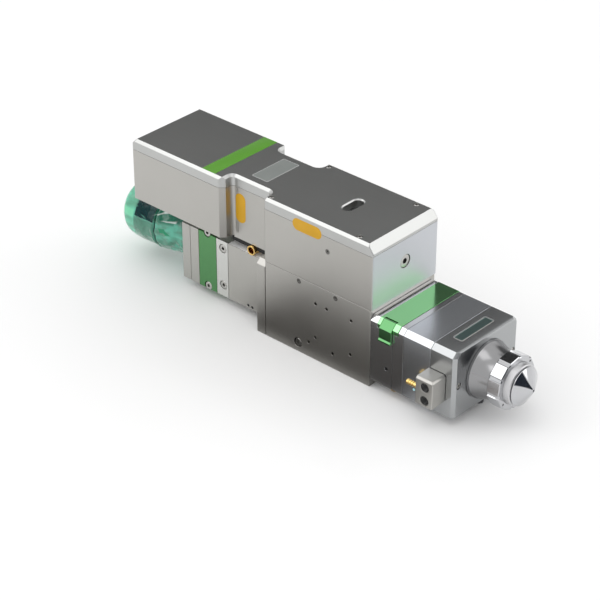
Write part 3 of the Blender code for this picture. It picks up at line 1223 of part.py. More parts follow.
def drawer_latch(material, pin_material, latch_axis):
    """The latch on its pin: a hub in the cap's notch and a plate bent down over the side."""
    reach_y = -CAP_HALF - LATCH_PIN_Y
    bend_z = CAP_TOP_Z - DECK_CHAMFER - LATCH_PIN_Z
    tip_z = LATCH_TIP_Z - LATCH_PIN_Z
    skin = LATCH_THICKNESS
    face_y = -HALF_WIDTH - GAP - LATCH_PIN_Y
    out_y = face_y - skin
    hub = arc((0, 0), LATCH_HUB_R, math.radians(-60), math.radians(90), 6)
    shoulder_y = DECK_CHAMFER - CAP_HALF - LATCH_PIN_Y
    outline = hub + [
        (shoulder_y, LATCH_HUB_R), (reach_y, bend_z), (out_y, bend_z - (reach_y - out_y)),
        (out_y, tip_z + 2 * LATCH_LIP), (out_y - LATCH_LIP, tip_z + LATCH_LIP),
        (out_y - LATCH_LIP, tip_z), (face_y, tip_z),
        (face_y, DRAWER_SKIRT_Z - GAP - LATCH_PIN_Z), (face_y + skin, bend_z - skin / 2),
        (-LATCH_HUB_R * 0.8, -LATCH_HUB_R),
    ]
    half = LATCH_LENGTH / 2
    obj = add_object("drawer_latch", prism("x", outline, -half, half), material, latch_axis)
    cut(obj, rod(-half - OVER, half + OVER, LATCH_PIN_R + GAP, 12))
    grip = half + GAP + LATCH_PIN_GRIP
    add_object("latch_pin", rod(-grip, grip, LATCH_PIN_R, 12), pin_material, latch_axis,
               smooth=True)


def front_modules(material, head):
    """The sensor mount and the front module, with a bare recessed plate in its deck."""
    outline = body_outline(HALF_WIDTH, UNDERSIDE_Z, DECK_Z, DECK_CHAMFER)
    mount = add_object("sensor_mount", prism("x", outline, SENSOR_MOUNT_X0, SENSOR_MOUNT_X1),
                       material, head)
    cut(mount, drilled("x", (0, BEAM_Z), BEAM_BORE_R, SENSOR_MOUNT_X0 - OVER,
                       SENSOR_MOUNT_X1 + OVER, ROUND))
    x0, x1 = FRONT_MODULE_X0, FRONT_FACE_X
    corner_x = x1 - FRONT_CORNER
    narrow = [(y - math.copysign(FRONT_CORNER, y), z) for y, z in outline]
    narrow[2:] = [(narrow[2][0], narrow[2][1])] + [(y, z - FRONT_EDGE) for y, z in narrow[3:5]] \
        + [(narrow[5][0], narrow[5][1])]
    module = add_object("front_module", loft("x", [(x0, outline), (corner_x, outline),
                                                   (x1, narrow)]), material, head)
    plate = rounded_rectangle(PLATE_X, PLATE_LENGTH / 2, PLATE_HALF, PLATE_CORNER_R)
    cut(module, drilled("x", (0, BEAM_Z), FRONT_BORE_R, x0 - OVER, x1 + OVER, ROUND),
        prism("z", plate, DECK_Z - PLATE_DEPTH, DECK_Z + OVER))
    for y in (-FRONT_SCREW_Y, FRONT_SCREW_Y):
        cut(module, drilled("x", (y, BEAM_Z), FRONT_SCREW_R, x1 - FRONT_SCREW_DEPTH, x1 + OVER,
                            16))


def nozzle_group(silver, ceramic, chrome, beam_axis):
    """The sensor body, the ceramic, the lock ring, the nozzle holder and the nozzle."""
    flare = []
    for i in range(FLARE_STEPS + 1):
        along = i / FLARE_STEPS
        waist = FLARE_END_R + (FLARE_BASE_R - FLARE_END_R) * (1 - along) ** FLARE_CURVE
        flare.append((FLARE_X0 + FLARE_RIM + (FLARE_LENGTH - FLARE_RIM) * along, waist))
    add_object("sensor_body", turned(
        [(FLARE_X0, FLARE_BORE_R), (FLARE_X0, FLARE_BASE_R)] + flare + [(FLARE_X1, FLARE_BORE_R)],
        FINE), silver, beam_axis, smooth=True)
    add_object("ceramic_ring", ring(FLARE_X1 + GAP, FLARE_X1 + GAP + CERAMIC_THICKNESS,
                                    CERAMIC_BORE_R, LOCK_RING_SEAT_R - GAP), ceramic, beam_axis,
               smooth=True)
    lock_ring(chrome, beam_axis)
    edge = TURNED_EDGE
    add_object("nozzle_holder", turned([
        (HOLDER_X0, HOLDER_BORE_R), (HOLDER_X0, LOCK_RING_SEAT_R - GAP),
        (HOLDER_SHOULDER_X, LOCK_RING_SEAT_R - GAP), (HOLDER_SHOULDER_X, HOLDER_R),
        (HOLDER_X1 - edge, HOLDER_R), (HOLDER_X1, HOLDER_R - edge), (HOLDER_X1, HOLDER_BORE_R),
    ], FINE), silver, beam_axis, smooth=True)
    tip_x = NOZZLE_X0 + NOZZLE_RIM + NOZZLE_CONE
    add_object("nozzle", turned([
        (NOZZLE_X0 - NOZZLE_STEM, NOZZLE_STEM_BORE_R), (NOZZLE_X0 - NOZZLE_STEM, NOZZLE_STEM_R),
        (NOZZLE_X0, NOZZLE_STEM_R), (NOZZLE_X0, NOZZLE_R - edge),
        (NOZZLE_X0 + edge, NOZZLE_R), (NOZZLE_X0 + NOZZLE_RIM, NOZZLE_R), (tip_x, NOZZLE_TIP_R),
        (tip_x, NOZZLE_ORIFICE_R),
    ], FINE), chrome, beam_axis, smooth=True)


def lock_ring(material, beam_axis):
    """The ring that clamps the nozzle holder: wide flats with a narrow groove between each two."""
    outline = []
    pitch = math.tau / LOCK_RING_FLATS
    for i in range(LOCK_RING_FLATS):
        middle = (i + LOCK_RING_PHASE) * pitch
        mouth = LOCK_RING_GROOVE / 2
        root = mouth * LOCK_RING_GROOVE_ROOT
        for angle, radius in ((middle - mouth, LOCK_RING_R),
                              (middle - root, LOCK_RING_R - LOCK_RING_GROOVE_DEPTH),
                              (middle + root, LOCK_RING_R - LOCK_RING_GROOVE_DEPTH),
                              (middle + mouth, LOCK_RING_R)):
            outline.append((radius * math.cos(angle), radius * math.sin(angle)))
    edge = TURNED_EDGE
    inward = 1 - edge / LOCK_RING_R
    small = [(y * inward, z * inward) for y, z in outline]
    obj = add_object("lock_ring", loft("x", [
        (LOCK_RING_X0, small), (LOCK_RING_X0 + edge, outline), (LOCK_RING_X1 - edge, outline),
        (LOCK_RING_X1, small),
    ]), material, beam_axis)
    cut(obj, rod(LOCK_RING_X0 - OVER, LOCK_RING_X1 - LOCK_RING_LIP, LOCK_RING_SEAT_R, FINE),
        rod(LOCK_RING_X0, LOCK_RING_X1 + OVER, HOLDER_R + GAP, FINE))
    return obj


def port_block(material, insert_material, brass, head):
    """The block on the side that takes two hoses and the coaxial cable of the height sensor."""
    y1 = -HALF_WIDTH - GAP
    y0 = y1 - PORT_BLOCK_OUT
    z0 = PORT_BLOCK_Z0
    z1 = z0 + PORT_BLOCK_HEIGHT
    chamfer = PORT_BLOCK_CHAMFER
    x0 = PORT_BLOCK_X0
    x1 = x0 + PORT_BLOCK_LENGTH
    full = [(x0, y0), (x1, y0), (x1, y1), (x0, y1)]
    top = [(x0, y0 + chamfer), (x1 - chamfer, y0 + chamfer), (x1 - chamfer, y1), (x0, y1)]
    obj = add_object("port_block", loft("z", [(z0, full), (z1 - chamfer, full), (z1, top)]),
                     material, head)
    for z in PORTS_Z:
        cut(obj, drilled("y", (PORT_X, z), PORT_R + GAP, y0 - OVER, y0 + PORT_DEPTH + GAP))
    coax_y = (y0 + y1) / 2
    cut(obj, drilled("x", (coax_y, COAX_Z), COAX_R + GAP, x0 - OVER, x0 + COAX_SEAT, 16))
    for label, z in zip(("upper", "lower"), PORTS_Z):
        outline = [(0, 0), (0, PORT_R), (PORT_DEPTH, PORT_R), (PORT_DEPTH, PORT_BORE_R),
                   (PORT_END, PORT_BORE_R), (PORT_END, 0)]
        add_object(f"port_{label}", turned(outline, SMALL), insert_material, head,
                   (PORT_X, y0 + PORT_DEPTH, z), (0, 0, -math.pi / 2), smooth=True)
    rim = COAX_LENGTH - COAX_RIM
    seat = GAP - COAX_SEAT
    outline = [(seat, 0), (seat, COAX_R), (rim, COAX_R), (rim, COAX_R - COAX_STEP),
               (COAX_LENGTH, COAX_R - COAX_STEP), (COAX_LENGTH, COAX_PIN_R),
               (rim, COAX_PIN_R), (rim, 0)]
    add_object("coax_socket", turned(outline, 16), brass, head, (x0, coax_y, COAX_Z),
               (0, 0, math.pi), smooth=True)


def power_connector(material, head):
    """The round connector for the motor and encoder cables on the rear wall."""
    flange = CONNECTOR_FLANGE
    length = CONNECTOR_LENGTH
    outline = [(-CONNECTOR_IN, 0), (-CONNECTOR_IN, CONNECTOR_THROAT_R), (GAP, CONNECTOR_THROAT_R),
               (GAP, CONNECTOR_FLANGE_R), (GAP + flange, CONNECTOR_FLANGE_R),
               (GAP + flange, CONNECTOR_R), (length, CONNECTOR_R), (length, CONNECTOR_SOCKET_R),
               (GAP + flange, CONNECTOR_SOCKET_R), (GAP + flange, 0)]
    return add_object("power_connector", turned(outline, SMALL + 2), material, head,
                      (REAR_BOX_X0, CONNECTOR_Y, CONNECTOR_Z), (0, 0, math.pi), smooth=True)


def build():
    clear_scene()
    silver = finish("anodised_silver", (0.62, 0.61, 0.58), 0.9, 0.38)
    dark_silver = finish("brushed_cover", (0.32, 0.33, 0.32), 0.9, 0.35)
    green = finish("anodised_green", (0.10, 0.34, 0.11), 0.6, 0.35)
    steel = finish("ground_steel", (0.55, 0.56, 0.57), 1.0, 0.25)
    black = finish("black_plastic", (0.02, 0.02, 0.02), 0.0, 0.45)
    rubber = finish("black_rubber", (0.015, 0.015, 0.015), 0.0, 0.8)
    red_rubber = finish("red_elastomer", (0.45, 0.05, 0.03), 0.0, 0.6)
    brass = finish("brass", (0.72, 0.50, 0.20), 1.0, 0.25)
    chrome = finish("polished_chrome", (0.80, 0.80, 0.81), 1.0, 0.06)
    glass = finish("coated_glass", (0.85, 0.93, 0.95), 0.0, 0.03, 0.35)
    ceramic = finish("white_ceramic", (0.85, 0.84, 0.80), 0.0, 0.4)
    motor_black = finish("motor_black", (0.03, 0.03, 0.035), 0.3, 0.45)
    navy = finish("navy_plastic", (0.01, 0.03, 0.08), 0.0, 0.4)
    film = finish("teal_film", (0.10, 0.55, 0.40), 0.0, 0.15, 0.5)
    board = finish("circuit_board", (0.02, 0.15, 0.06), 0.0, 0.5)

    head = axis_empty("head", (0, 0, 0))
    beam_axis = axis_empty("beam_axis", (0, 0, BEAM_Z), head)
    screw_axis = axis_empty("screw_axis", (0, 0, SCREW_Z), head)
    turning = axis_empty("screw_turning", (0, 0, 0), screw_axis)
    carriage = axis_empty("carriage", (0, 0, 0), screw_axis)
    carriage_beam = axis_empty("carriage_beam", (0, 0, BEAM_Z - SCREW_Z), carriage)
    drawer = axis_empty("drawer", (0, 0, 0), head)
    drawer_beam = axis_empty("drawer_beam", (0, 0, BEAM_Z), drawer)
    latch = axis_empty("latch", ((LATCH_X0 + LATCH_X1) / 2, LATCH_PIN_Y, LATCH_PIN_Z), drawer)

    drive_housing(silver, head)
    top_cover(dark_silver, head)
    sight_window(glass, head)
    servo_motor(motor_black, black, steel, screw_axis, turning)
    coupling(silver, red_rubber, turning)
    ball_screw(steel, steel, silver, turning, screw_axis)
    ball_nut(steel, carriage)
    linear_guides(steel, steel, head, carriage)
    lens_carriage(silver, carriage)
    scale_plate(black, carriage)
    limit_sensors(board, head)
    focusing_lens(silver, glass, steel, carriage_beam)
    centre_block(silver, head)
    collimator_stack(silver, green, head)
    collimating_lens(silver, glass, beam_axis)
    water_fitting(brass, head)
    neck_pad(rubber, head)
    fiber_receptacle(silver, beam_axis)
    fiber_collar(silver, beam_axis)
    fiber_cap(navy, beam_axis)
    film_wrap(film, beam_axis)
    window_housing(silver, head)
    seal_plate(silver, rubber, head, beam_axis)
    drawer_cap(green, drawer)
    drawer_tray(silver, drawer)
    protective_window(glass, steel, drawer_beam)
    drawer_latch(green, steel, latch)
    front_modules(silver, head)
    nozzle_group(silver, ceramic, chrome, beam_axis)
    port_block(silver, black, brass, head)
    power_connector(black, head)


build()
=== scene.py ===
"""Looks of a fiber laser cutting head: metal, film, glass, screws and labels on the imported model."""

import json
import math

import bmesh
import bpy
from mathutils import Matrix, Vector, noise

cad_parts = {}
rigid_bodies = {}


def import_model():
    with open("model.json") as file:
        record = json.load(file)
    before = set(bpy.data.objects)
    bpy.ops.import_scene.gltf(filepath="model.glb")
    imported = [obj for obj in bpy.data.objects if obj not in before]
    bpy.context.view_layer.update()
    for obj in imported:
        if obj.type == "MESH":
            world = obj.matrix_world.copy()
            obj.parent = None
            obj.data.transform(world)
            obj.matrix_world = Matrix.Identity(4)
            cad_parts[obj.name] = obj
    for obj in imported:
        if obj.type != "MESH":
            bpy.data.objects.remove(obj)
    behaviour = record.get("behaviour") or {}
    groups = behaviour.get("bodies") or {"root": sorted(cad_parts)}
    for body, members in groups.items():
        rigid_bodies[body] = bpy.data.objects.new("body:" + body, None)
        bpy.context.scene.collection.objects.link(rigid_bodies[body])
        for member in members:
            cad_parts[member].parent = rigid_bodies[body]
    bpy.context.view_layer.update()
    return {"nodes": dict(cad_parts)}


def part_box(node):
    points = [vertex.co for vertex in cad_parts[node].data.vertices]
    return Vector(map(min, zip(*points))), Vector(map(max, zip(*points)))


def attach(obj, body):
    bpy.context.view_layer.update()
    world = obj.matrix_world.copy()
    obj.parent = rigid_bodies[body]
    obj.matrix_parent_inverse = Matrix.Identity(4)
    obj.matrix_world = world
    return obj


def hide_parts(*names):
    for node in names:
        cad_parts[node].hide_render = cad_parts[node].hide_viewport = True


for startup_object in list(bpy.data.objects):
    bpy.data.objects.remove(startup_object, do_unlink=True)

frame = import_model()

MM = 0.001
# A sliver, by which one piece sinks into another
HAIR = 0.05 * MM

# Camera, as it stood for the photograph
AZIMUTH = math.radians(42.42)
ELEVATION = math.radians(31.87)
DISTANCE = 1.7023
LOOK_AT = Vector((-0.0156, -0.0437, 0.0539))
LENS = 125.43


def lowest(node):
    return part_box(node)[0]


def highest(node):
    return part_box(node)[1]


def centre_of(node):
    return (lowest(node) + highest(node)) / 2


def radius_of(node):
    """The radius of a round node that lies level."""
    return (highest(node).z - lowest(node).z) / 2


# Places on the head that several pieces share
BEAM_Z = centre_of("nozzle").z
SCREW_AXIS_Z = centre_of("ball_screw").z
COVER_TOP = highest("top_cover").z
DECK_TOP = highest("sensor_mount").z
UNDERSIDE = lowest("sensor_mount").z
NEAR_SIDE = lowest("centre_block").y
NECK_SIDE = -28 * MM
COLLIMATOR_SIDE = lowest("collimator_block").y
FRONT_FACE = highest("front_module").x


# Shader maths

class Value:
    """A number socket that takes part in Python expressions, each of which adds its Math node."""

    def __init__(self, shader, socket):
        self.shader = shader
        self.socket = socket

    def maths(self, operation, first, second):
        return self.shader.value("ShaderNodeMath", {"operation": operation}, {0: first, 1: second})

    def __add__(self, other):
        return self.maths("ADD", self, other)

    def __radd__(self, other):
        return self.maths("ADD", other, self)

    def __sub__(self, other):
        return self.maths("SUBTRACT", self, other)

    def __rsub__(self, other):
        return self.maths("SUBTRACT", other, self)

    def __mul__(self, other):
        return self.maths("MULTIPLY", self, other)

    def __rmul__(self, other):
        return self.maths("MULTIPLY", other, self)

    def __abs__(self):
        return self.maths("ABSOLUTE", self, 0)


class Shader:
    """A node tree under construction. Its nodes all come from node() or value()."""

    def __init__(self, tree):
        self.tree = tree

    def node(self, kind, settings=None, inputs=None):
        """A node of any kind: its settings first, and then the values or links of its sockets."""
        made = self.tree.nodes.new(kind)
        for name, setting in (settings or {}).items():
            setattr(made, name, setting)
        for name, given in (inputs or {}).items():
            given = given.socket if isinstance(given, Value) else given
            if isinstance(given, bpy.types.NodeSocket):
                self.tree.links.new(given, made.inputs[name])
            else:
                made.inputs[name].default_value = given
        return made

    def value(self, kind, settings=None, inputs=None, output=0):
        return Value(self, self.node(kind, settings, inputs).outputs[output])

    def spread(self, source, low, high, to_low=0.0, to_high=1.0):
        """The source mapped smoothly from one range to another."""
        return self.value("ShaderNodeMapRange", {"interpolation_type": "SMOOTHSTEP"}, {
            "Value": source, "From Min": low, "From Max": high, "To Min": to_low,
            "To Max": to_high})


class Finish(Shader):
    """A material under construction. Keyword arguments are constants on the shader's own sockets."""

    def __init__(self, name, **constants):
        self.material = bpy.data.materials.new(name)
        self.material.use_nodes = True
        super().__init__(self.material.node_tree)
        self.surface = self.tree.nodes["Principled BSDF"]
        for socket, number in constants.items():
            self.surface.inputs[socket.replace("_", " ")].default_value = number
        self.place = self.node("ShaderNodeTexCoord").outputs["Object"]

    def noise(self, scale, detail=3.0, roughness=0.55, turned=(0, 0, 0), distortion=0.0):
        """Noise from 0 to 1 whose scale is given for each axis, in cells for each millimetre."""
        place = self.node("ShaderNodeMapping", None, {
            "Vector": self.place, "Rotation": turned, "Scale": [s / MM for s in scale]}).outputs[0]
        return self.value("ShaderNodeTexNoise", None, {
            "Vector": place, "Scale": 1.0, "Detail": detail, "Roughness": roughness,
            "Distortion": distortion})

    def coordinate(self, axis):
        return self.value("ShaderNodeSeparateXYZ", None, {0: self.place}, axis)

    def millimetres(self, axis):
        """One coordinate of the place on the surface, in millimetres."""
        return self.coordinate(axis) * (1 / MM)

    def mixed(self, share, first, second):
        """Two colours mixed by a share."""
        return self.node("ShaderNodeMix", {"data_type": "RGBA"}, {
            "Factor": share, 6: first, 7: second}).outputs[2]

    def bump(self, height, strength, distance):
        self.feed("Normal", self.value("ShaderNodeBump", None, {
            "Strength": strength, "Distance": distance, "Height": height}))

    def feed(self, name, source):
        source = source.socket if isinstance(source, Value) else source
        self.tree.links.new(source, self.surface.inputs[name])

    def tint(self, share, base, darkest, lightest):
        """Feeds the base colour, which a share takes from its darkest to its lightest."""
        self.feed("Base Color", self.mixed(share, colour(base, darkest), colour(base, lightest)))


def colour(base, times=1.0):
    """A colour with its opacity, optionally lighter or darker."""
    return (*(min(1.0, channel * times) for channel in base), 1.0)


def blasted_metal(name, base, roughness, contrast=0.10, grain_depth=0.12, front=None):
    """Bead-blasted and anodised aluminium: a fine dull grain with faint cloudy patches.

    Front is a place along the beam, with the base colour and the added roughness beyond it. That
    lighter base colour is painted light on the face beyond the place."""
    made = Finish(name, Metallic=1.0)
    grain = made.noise((1.6, 1.6, 1.6), 4.0, 0.75)
    cloud = made.noise((0.02, 0.02, 0.02))
    tone = cloud * 0.55 + grain * 0.45
    blasted = made.mixed(tone, colour(base, 1 - contrast), colour(base, 1 + contrast))
    dullness = roughness + (grain - 0.5) * 0.10 + (cloud - 0.5) * 0.06
    if front:
        place, painted_light_base, added = front
        # Painted light: beyond the place the face takes a lighter, bluer base colour
        painted_light_share = made.spread(made.millimetres(0), place / MM - 0.5, place / MM - 0.1)
        blasted = made.mixed(painted_light_share, blasted, colour(painted_light_base))
        dullness = dullness + painted_light_share * added
    made.feed("Base Color", blasted)
    made.feed("Roughness", dullness)
    made.bump(grain, grain_depth, 0.05 * MM)
    return made.material


def milled_metal(name, base, roughness, contrast=0.10, depth=0.10):
    """Face-milled and anodised aluminium: long fine tool marks along the beam, and a light grain."""
    made = Finish(name, Metallic=1.0)
    marks = made.noise((0.03, 1.8, 1.8), 4.0, 0.7)
    cloud = made.noise((0.012, 0.02, 0.02))
    tone = marks * 0.5 + cloud * 0.5
    made.tint(tone, base, 1 - contrast, 1 + contrast)
    made.feed("Roughness", roughness + (marks - 0.5) * 0.06)
    made.bump(marks, depth, 0.05 * MM)
    return made.material


def turned_metal(name, base, roughness):
    """Metal from a lathe: fine rings along the beam's direction."""
    made = Finish(name, Metallic=1.0)
    rings = made.noise((2.5, 0.05, 0.05), 2.0, 0.5)
    cloud = made.noise((0.08, 0.08, 0.08))
    made.tint(cloud, base, 0.92, 1.08)
    made.feed("Roughness", roughness + (rings - 0.5) * 0.10 + (cloud - 0.5) * 0.05)
    made.bump(rings, 0.08, 0.03 * MM)
    return made.material


def polished_metal(name, base, roughness):
    """Polished and plated metal with faint smears."""
    made = Finish(name, Metallic=1.0)
    smear = made.noise((0.12, 0.05, 0.12), 4.0, 0.6)
    made.tint(smear, base, 0.93, 1.04)
    made.feed("Roughness", made.spread(smear, 0.35, 0.75, roughness, roughness + 0.06))
    return made.material


def moulded_plastic(name, base, roughness, grain_scale=1.5):
    """Moulded plastic or rubber with a fine skin."""
    made = Finish(name)
    grain = made.noise((grain_scale,) * 3, 3.0, 0.6)
    cloud = made.noise((0.1, 0.1, 0.1), 2.0)
    made.tint(cloud, base, 1.0, 1.5)
    made.feed("Roughness", roughness + (grain - 0.5) * 0.15)
    made.bump(grain, 0.2, 0.05 * MM)
    return made.material


def printed_vinyl(name, base, roughness, contrast=0.10):
    """A printed adhesive label: even ink over a faint orange-peel surface."""
    made = Finish(name)
    peel = made.noise((0.8, 0.8, 0.8), 2.0)
    cloud = made.noise((0.06, 0.06, 0.06), 2.0)
    made.tint(cloud, base, 1 - contrast, 1 + contrast)
    made.feed("Roughness", roughness + (peel - 0.5) * 0.12)
    made.bump(peel, 0.15, 0.05 * MM)
    return made.material


def coated_glass(name, tint):
    """Coated optical glass with a faint haze."""
    made = Finish(name, Transmission_Weight=0.9, IOR=1.5, Roughness=0.02)
    haze = made.noise((0.2, 0.2, 0.2))
    made.feed("Base Color", made.mixed(haze, colour(tint), colour((1, 1, 1))))
    return made.material


# The film: the place of its tie, and its colours in the order in which they cover each other
TIE_X = -206.5 * MM
FILM_DULL = (0.105, 0.34, 0.235)
FILM_PALE = (0.16, 0.66, 0.48)
FILM_LOW = (0.07, 0.26, 0.17)
# Painted highlight on the rear end
FILM_REAR_HIGHLIGHT = (0.26, 0.86, 0.55)
FILM_DEEP = (0.004, 0.36, 0.17)
FILM_SHADED = (0.03, 0.15, 0.10)
FILM_GREEN = (0.01, 0.24, 0.14)
FILM_OVER_CAP = (0.002, 0.055, 0.060)
# Painted highlight on the pleats
FILM_PLEAT_HIGHLIGHT = (0.88, 1.0, 0.95)
# Painted shade in the tie's crease
FILM_TIE_SHADE = (0.002, 0.05, 0.035)


def tied_film(name):
    """Thin green-blue film: clear over the cap, denser where it lies double, with painted highlights on
    the pleats, painted shade in the crease at the tie and a painted highlight band at its rear end.
    Its places are in millimetres along the beam and above the floor."""
    made = Finish(name, Transmission_Weight=0.3, IOR=1.2, Coat_Roughness=0.05, Roughness=0.25)
    cloud = made.noise((0.06, 0.09, 0.09), 4.0, 0.55, (0.2, 0.5, 0.1), 0.8)
    crease = made.noise((0.10, 0.22, 0.22), 4.0, 0.6, (0.3, 0.4, 0.3), 1.2)
    x, z = made.millimetres(0), made.millimetres(2)

    def between(low, high, soft=1.0):
        """One between two places along the beam, and none outside them."""
        return made.spread(x, low, low + soft) * made.spread(x, high - soft, high, 1.0, 0.0)

    def pleat(start, end, height, slope, width):
        """A wedge of painted highlight that opens from its tip at the start."""
        along = x - start
        off = abs(z - height - along * slope) - along * (width / (end - start))
        return made.spread(off, -0.6, 0.2, 1.0, 0.0) * between(start, end, 2.0)

    rear_bend, soft = -230.8, 1.2
    body = made.mixed(made.spread(cloud, 0.35, 0.7), colour(FILM_DULL), colour(FILM_PALE))
    low_side = between(-231.5, -207, soft) * made.spread(z, 42, 44, 1.0, 0.0) * 0.8
    body = made.mixed(low_side, body, colour(FILM_LOW))
    # A painted highlight over the rear end, strongest in a band at middle height
    rear_highlight_band = made.spread(abs(z - 44.5), 2.0, 5.0, 1.0, 0.35)
    body = made.mixed(made.spread(x, rear_bend, -232.6) * rear_highlight_band, body, colour(FILM_REAR_HIGHLIGHT))
    from_middle = x + 195
    off_middle = abs(from_middle) * 0.12 + abs(z - 38.8 + from_middle * 0.2) * 0.28
    body = made.mixed(made.spread(off_middle, 0.7, 1.0, 1.0, 0.0), body, colour(FILM_DEEP))
    under_box = between(-189, -168, 3.0) * made.spread(z, 47, 50) * 0.7
    body = made.mixed(under_box, body, colour(FILM_SHADED))
    under_pleats = between(-209, -186) * made.spread(z, 45.5, 47.5) * 0.75
    body = made.mixed(under_pleats, body, colour(FILM_GREEN))
    window = made.spread(z, 43.2, 44.4) * between(rear_bend, -207.5, soft)
    window = window * made.spread(crease, 0.60, 0.66, 1.0, 0.25)
    body = made.mixed(window, body, colour(FILM_OVER_CAP))
    # Painted highlights on the pleats beside the tie
    pleats = pleat(-211, -193, 49.2, 0.42, 1.5) + pleat(-201, -184, 48.2, 0.10, 1.2)
    body = made.mixed(pleats, body, colour(FILM_PLEAT_HIGHLIGHT))
    # Painted shade in the crease at the tie, darkest low down
    tie_crease_shade = made.spread(abs(x - TIE_X / MM), 0.4, 1.2, 0.85, 0.0) * made.spread(z, 47, 51, 1.0, 0.3)
    made.feed("Base Color", made.mixed(tie_crease_shade, body, colour(FILM_TIE_SHADE)))
    made.feed("Alpha", made.spread(cloud, 0.3, 0.75, 0.88, 0.98) * (1.0 - 0.40 * window))
    made.feed("Coat Weight", 1.0 - 0.75 * window)
    made.bump(abs(crease - 0.5), 0.25, 1.0 * MM)
    return made.material


SILVER = blasted_metal("silver_anodised_blocks", (0.475, 0.465, 0.44), 0.36)
# The housing's front face gets a lighter, bluer base colour: painted light where the light falls on
# that face
HOUSING = blasted_metal("silver_anodised_housing", (0.475, 0.465, 0.44), 0.38, front=(
    highest("drive_housing").x, (0.63, 0.645, 0.675), 0.14))
PALE_SILVER = blasted_metal("pale_anodised_clamp", (0.66, 0.66, 0.64), 0.40)
# A white sheet that paints the highlight on the collimator block's top
WHITE_HIGHLIGHT_SHEET = moulded_plastic("white_shim", (0.84, 0.84, 0.835), 0.5)
SIDE_STEEL = turned_metal("dull_side_screw", (0.30, 0.295, 0.28), 0.33)
COVER = milled_metal("anodised_cover", (0.49, 0.495, 0.485), 0.30)
PLATE_DECK = milled_metal("milled_window_blocks", (0.64, 0.645, 0.66), 0.17, 0.03, 0.01)
DECK = milled_metal("milled_sensor_mount", (0.60, 0.62, 0.65), 0.24, 0.03, 0.01)
FRONT_DECK = milled_metal("milled_front_module", (0.41, 0.42, 0.425), 0.25, 0.03, 0.01)
DECK_GREEN = blasted_metal("green_anodised_cap", (0.29, 0.65, 0.30), 0.15, 0.04, 0.02)
GREEN = blasted_metal("green_anodised", (0.115, 0.295, 0.122), 0.22, 0.06, 0.05)
STEEL = turned_metal("ground_steel", (0.55, 0.56, 0.57), 0.25)
SCREW_STEEL = turned_metal("zinc_plated_screws", (0.52, 0.51, 0.49), 0.30)
DARK_STEEL = turned_metal("dark_screws", (0.10, 0.10, 0.105), 0.35)
DOWEL_STEEL = turned_metal("hardened_dowels", (0.19, 0.185, 0.175), 0.30)
BRASS = turned_metal("turned_brass", (0.78, 0.52, 0.18), 0.20)
GOLD = polished_metal("gold_plating", (0.86, 0.62, 0.24), 0.14)
CHROME = polished_metal("polished_chrome", (0.56, 0.565, 0.58), 0.05)
SATIN = turned_metal("satin_turned_aluminium", (0.32, 0.32, 0.325), 0.22)
PALE_SATIN = turned_metal("pale_turned_aluminium", (0.60, 0.60, 0.61), 0.38)
BLACK = moulded_plastic("black_plastic", (0.012, 0.012, 0.013), 0.38)
GLOSSY_BLACK = moulded_plastic("glossy_black_insert", (0.008, 0.008, 0.008), 0.18)
RUBBER = moulded_plastic("black_rubber", (0.010, 0.010, 0.010), 0.75, 3.0)
RED_RUBBER = moulded_plastic("red_elastomer", (0.42, 0.04, 0.02), 0.55, 3.0)
NAVY = moulded_plastic("navy_plastic", (0.004, 0.014, 0.045), 0.30)
CERAMIC = moulded_plastic("ground_ceramic", (0.62, 0.61, 0.58), 0.35, 3.0)
BOARD = moulded_plastic("circuit_board", (0.01, 0.12, 0.05), 0.45)
WHITE_INK = moulded_plastic("white_graduations", (0.55, 0.55, 0.53), 0.5)
LIGHT_LENS = moulded_plastic("indicator_lens", (0.35, 0.62, 0.66), 0.12)
GLASS = coated_glass("coated_glass", (0.92, 0.97, 0.99))
SMOKED_GLASS = coated_glass("smoked_glass", (0.12, 0.13, 0.135))
FILM = tied_film("teal_film")
YELLOW = printed_vinyl("yellow_label", (0.60, 0.32, 0.002), 0.55)
SILVER_LABEL = printed_vinyl("silver_label", (0.20, 0.215, 0.205), 0.40, 0.05)
LABEL_RIM = printed_vinyl("silver_label_rim", (0.42, 0.43, 0.42), 0.40, 0.05)
GREEN_BAND = printed_vinyl("green_band", (0.083, 0.285, 0.013), 0.45, 0.05)
PLATE = milled_metal("dark_plate", (0.17, 0.25, 0.24), 0.30)


# Modelling helpers

# For each axis its direction, and the turn that lays a new circle's or cylinder's own axis along it
AXES = {
    "x": (Vector((1, 0, 0)), (0, math.pi / 2, 0)),
    "y": (Vector((0, 1, 0)), (math.pi / 2, 0, 0)),
    "z": (Vector((0, 0, 1)), (0, 0, 0)),
}


def select(*pieces):
    """Selects these pieces alone, and makes the first one active."""
    bpy.ops.object.select_all(action="DESELECT")
    for piece in pieces:
        piece.select_set(True)
    bpy.context.view_layer.objects.active = pieces[0]


def start_editing(piece, action="SELECT"):
    select(piece)
    bpy.ops.object.mode_set(mode="EDIT")
    bpy.ops.mesh.select_all(action=action)


def stop_editing():
    bpy.ops.mesh.select_mode(type="VERT")
    bpy.ops.object.mode_set(mode="OBJECT")


def choose(piece, kind, test):
    """Selects the vertices or edges of a piece in edit mode that pass a test."""
    bpy.ops.mesh.select_mode(type={"verts": "VERT", "edges": "EDGE"}[kind])
    bpy.ops.mesh.select_all(action="DESELECT")
    mesh = bmesh.from_edit_mesh(piece.data)
    for element in getattr(mesh, kind):
        element.select_set(test(element))
    bmesh.update_edit_mesh(piece.data)


def settled(piece):
    """Puts a piece's place, turn and size into its mesh."""
    select(piece)
    bpy.ops.object.transform_apply(location=True, rotation=True, scale=True)
    return piece


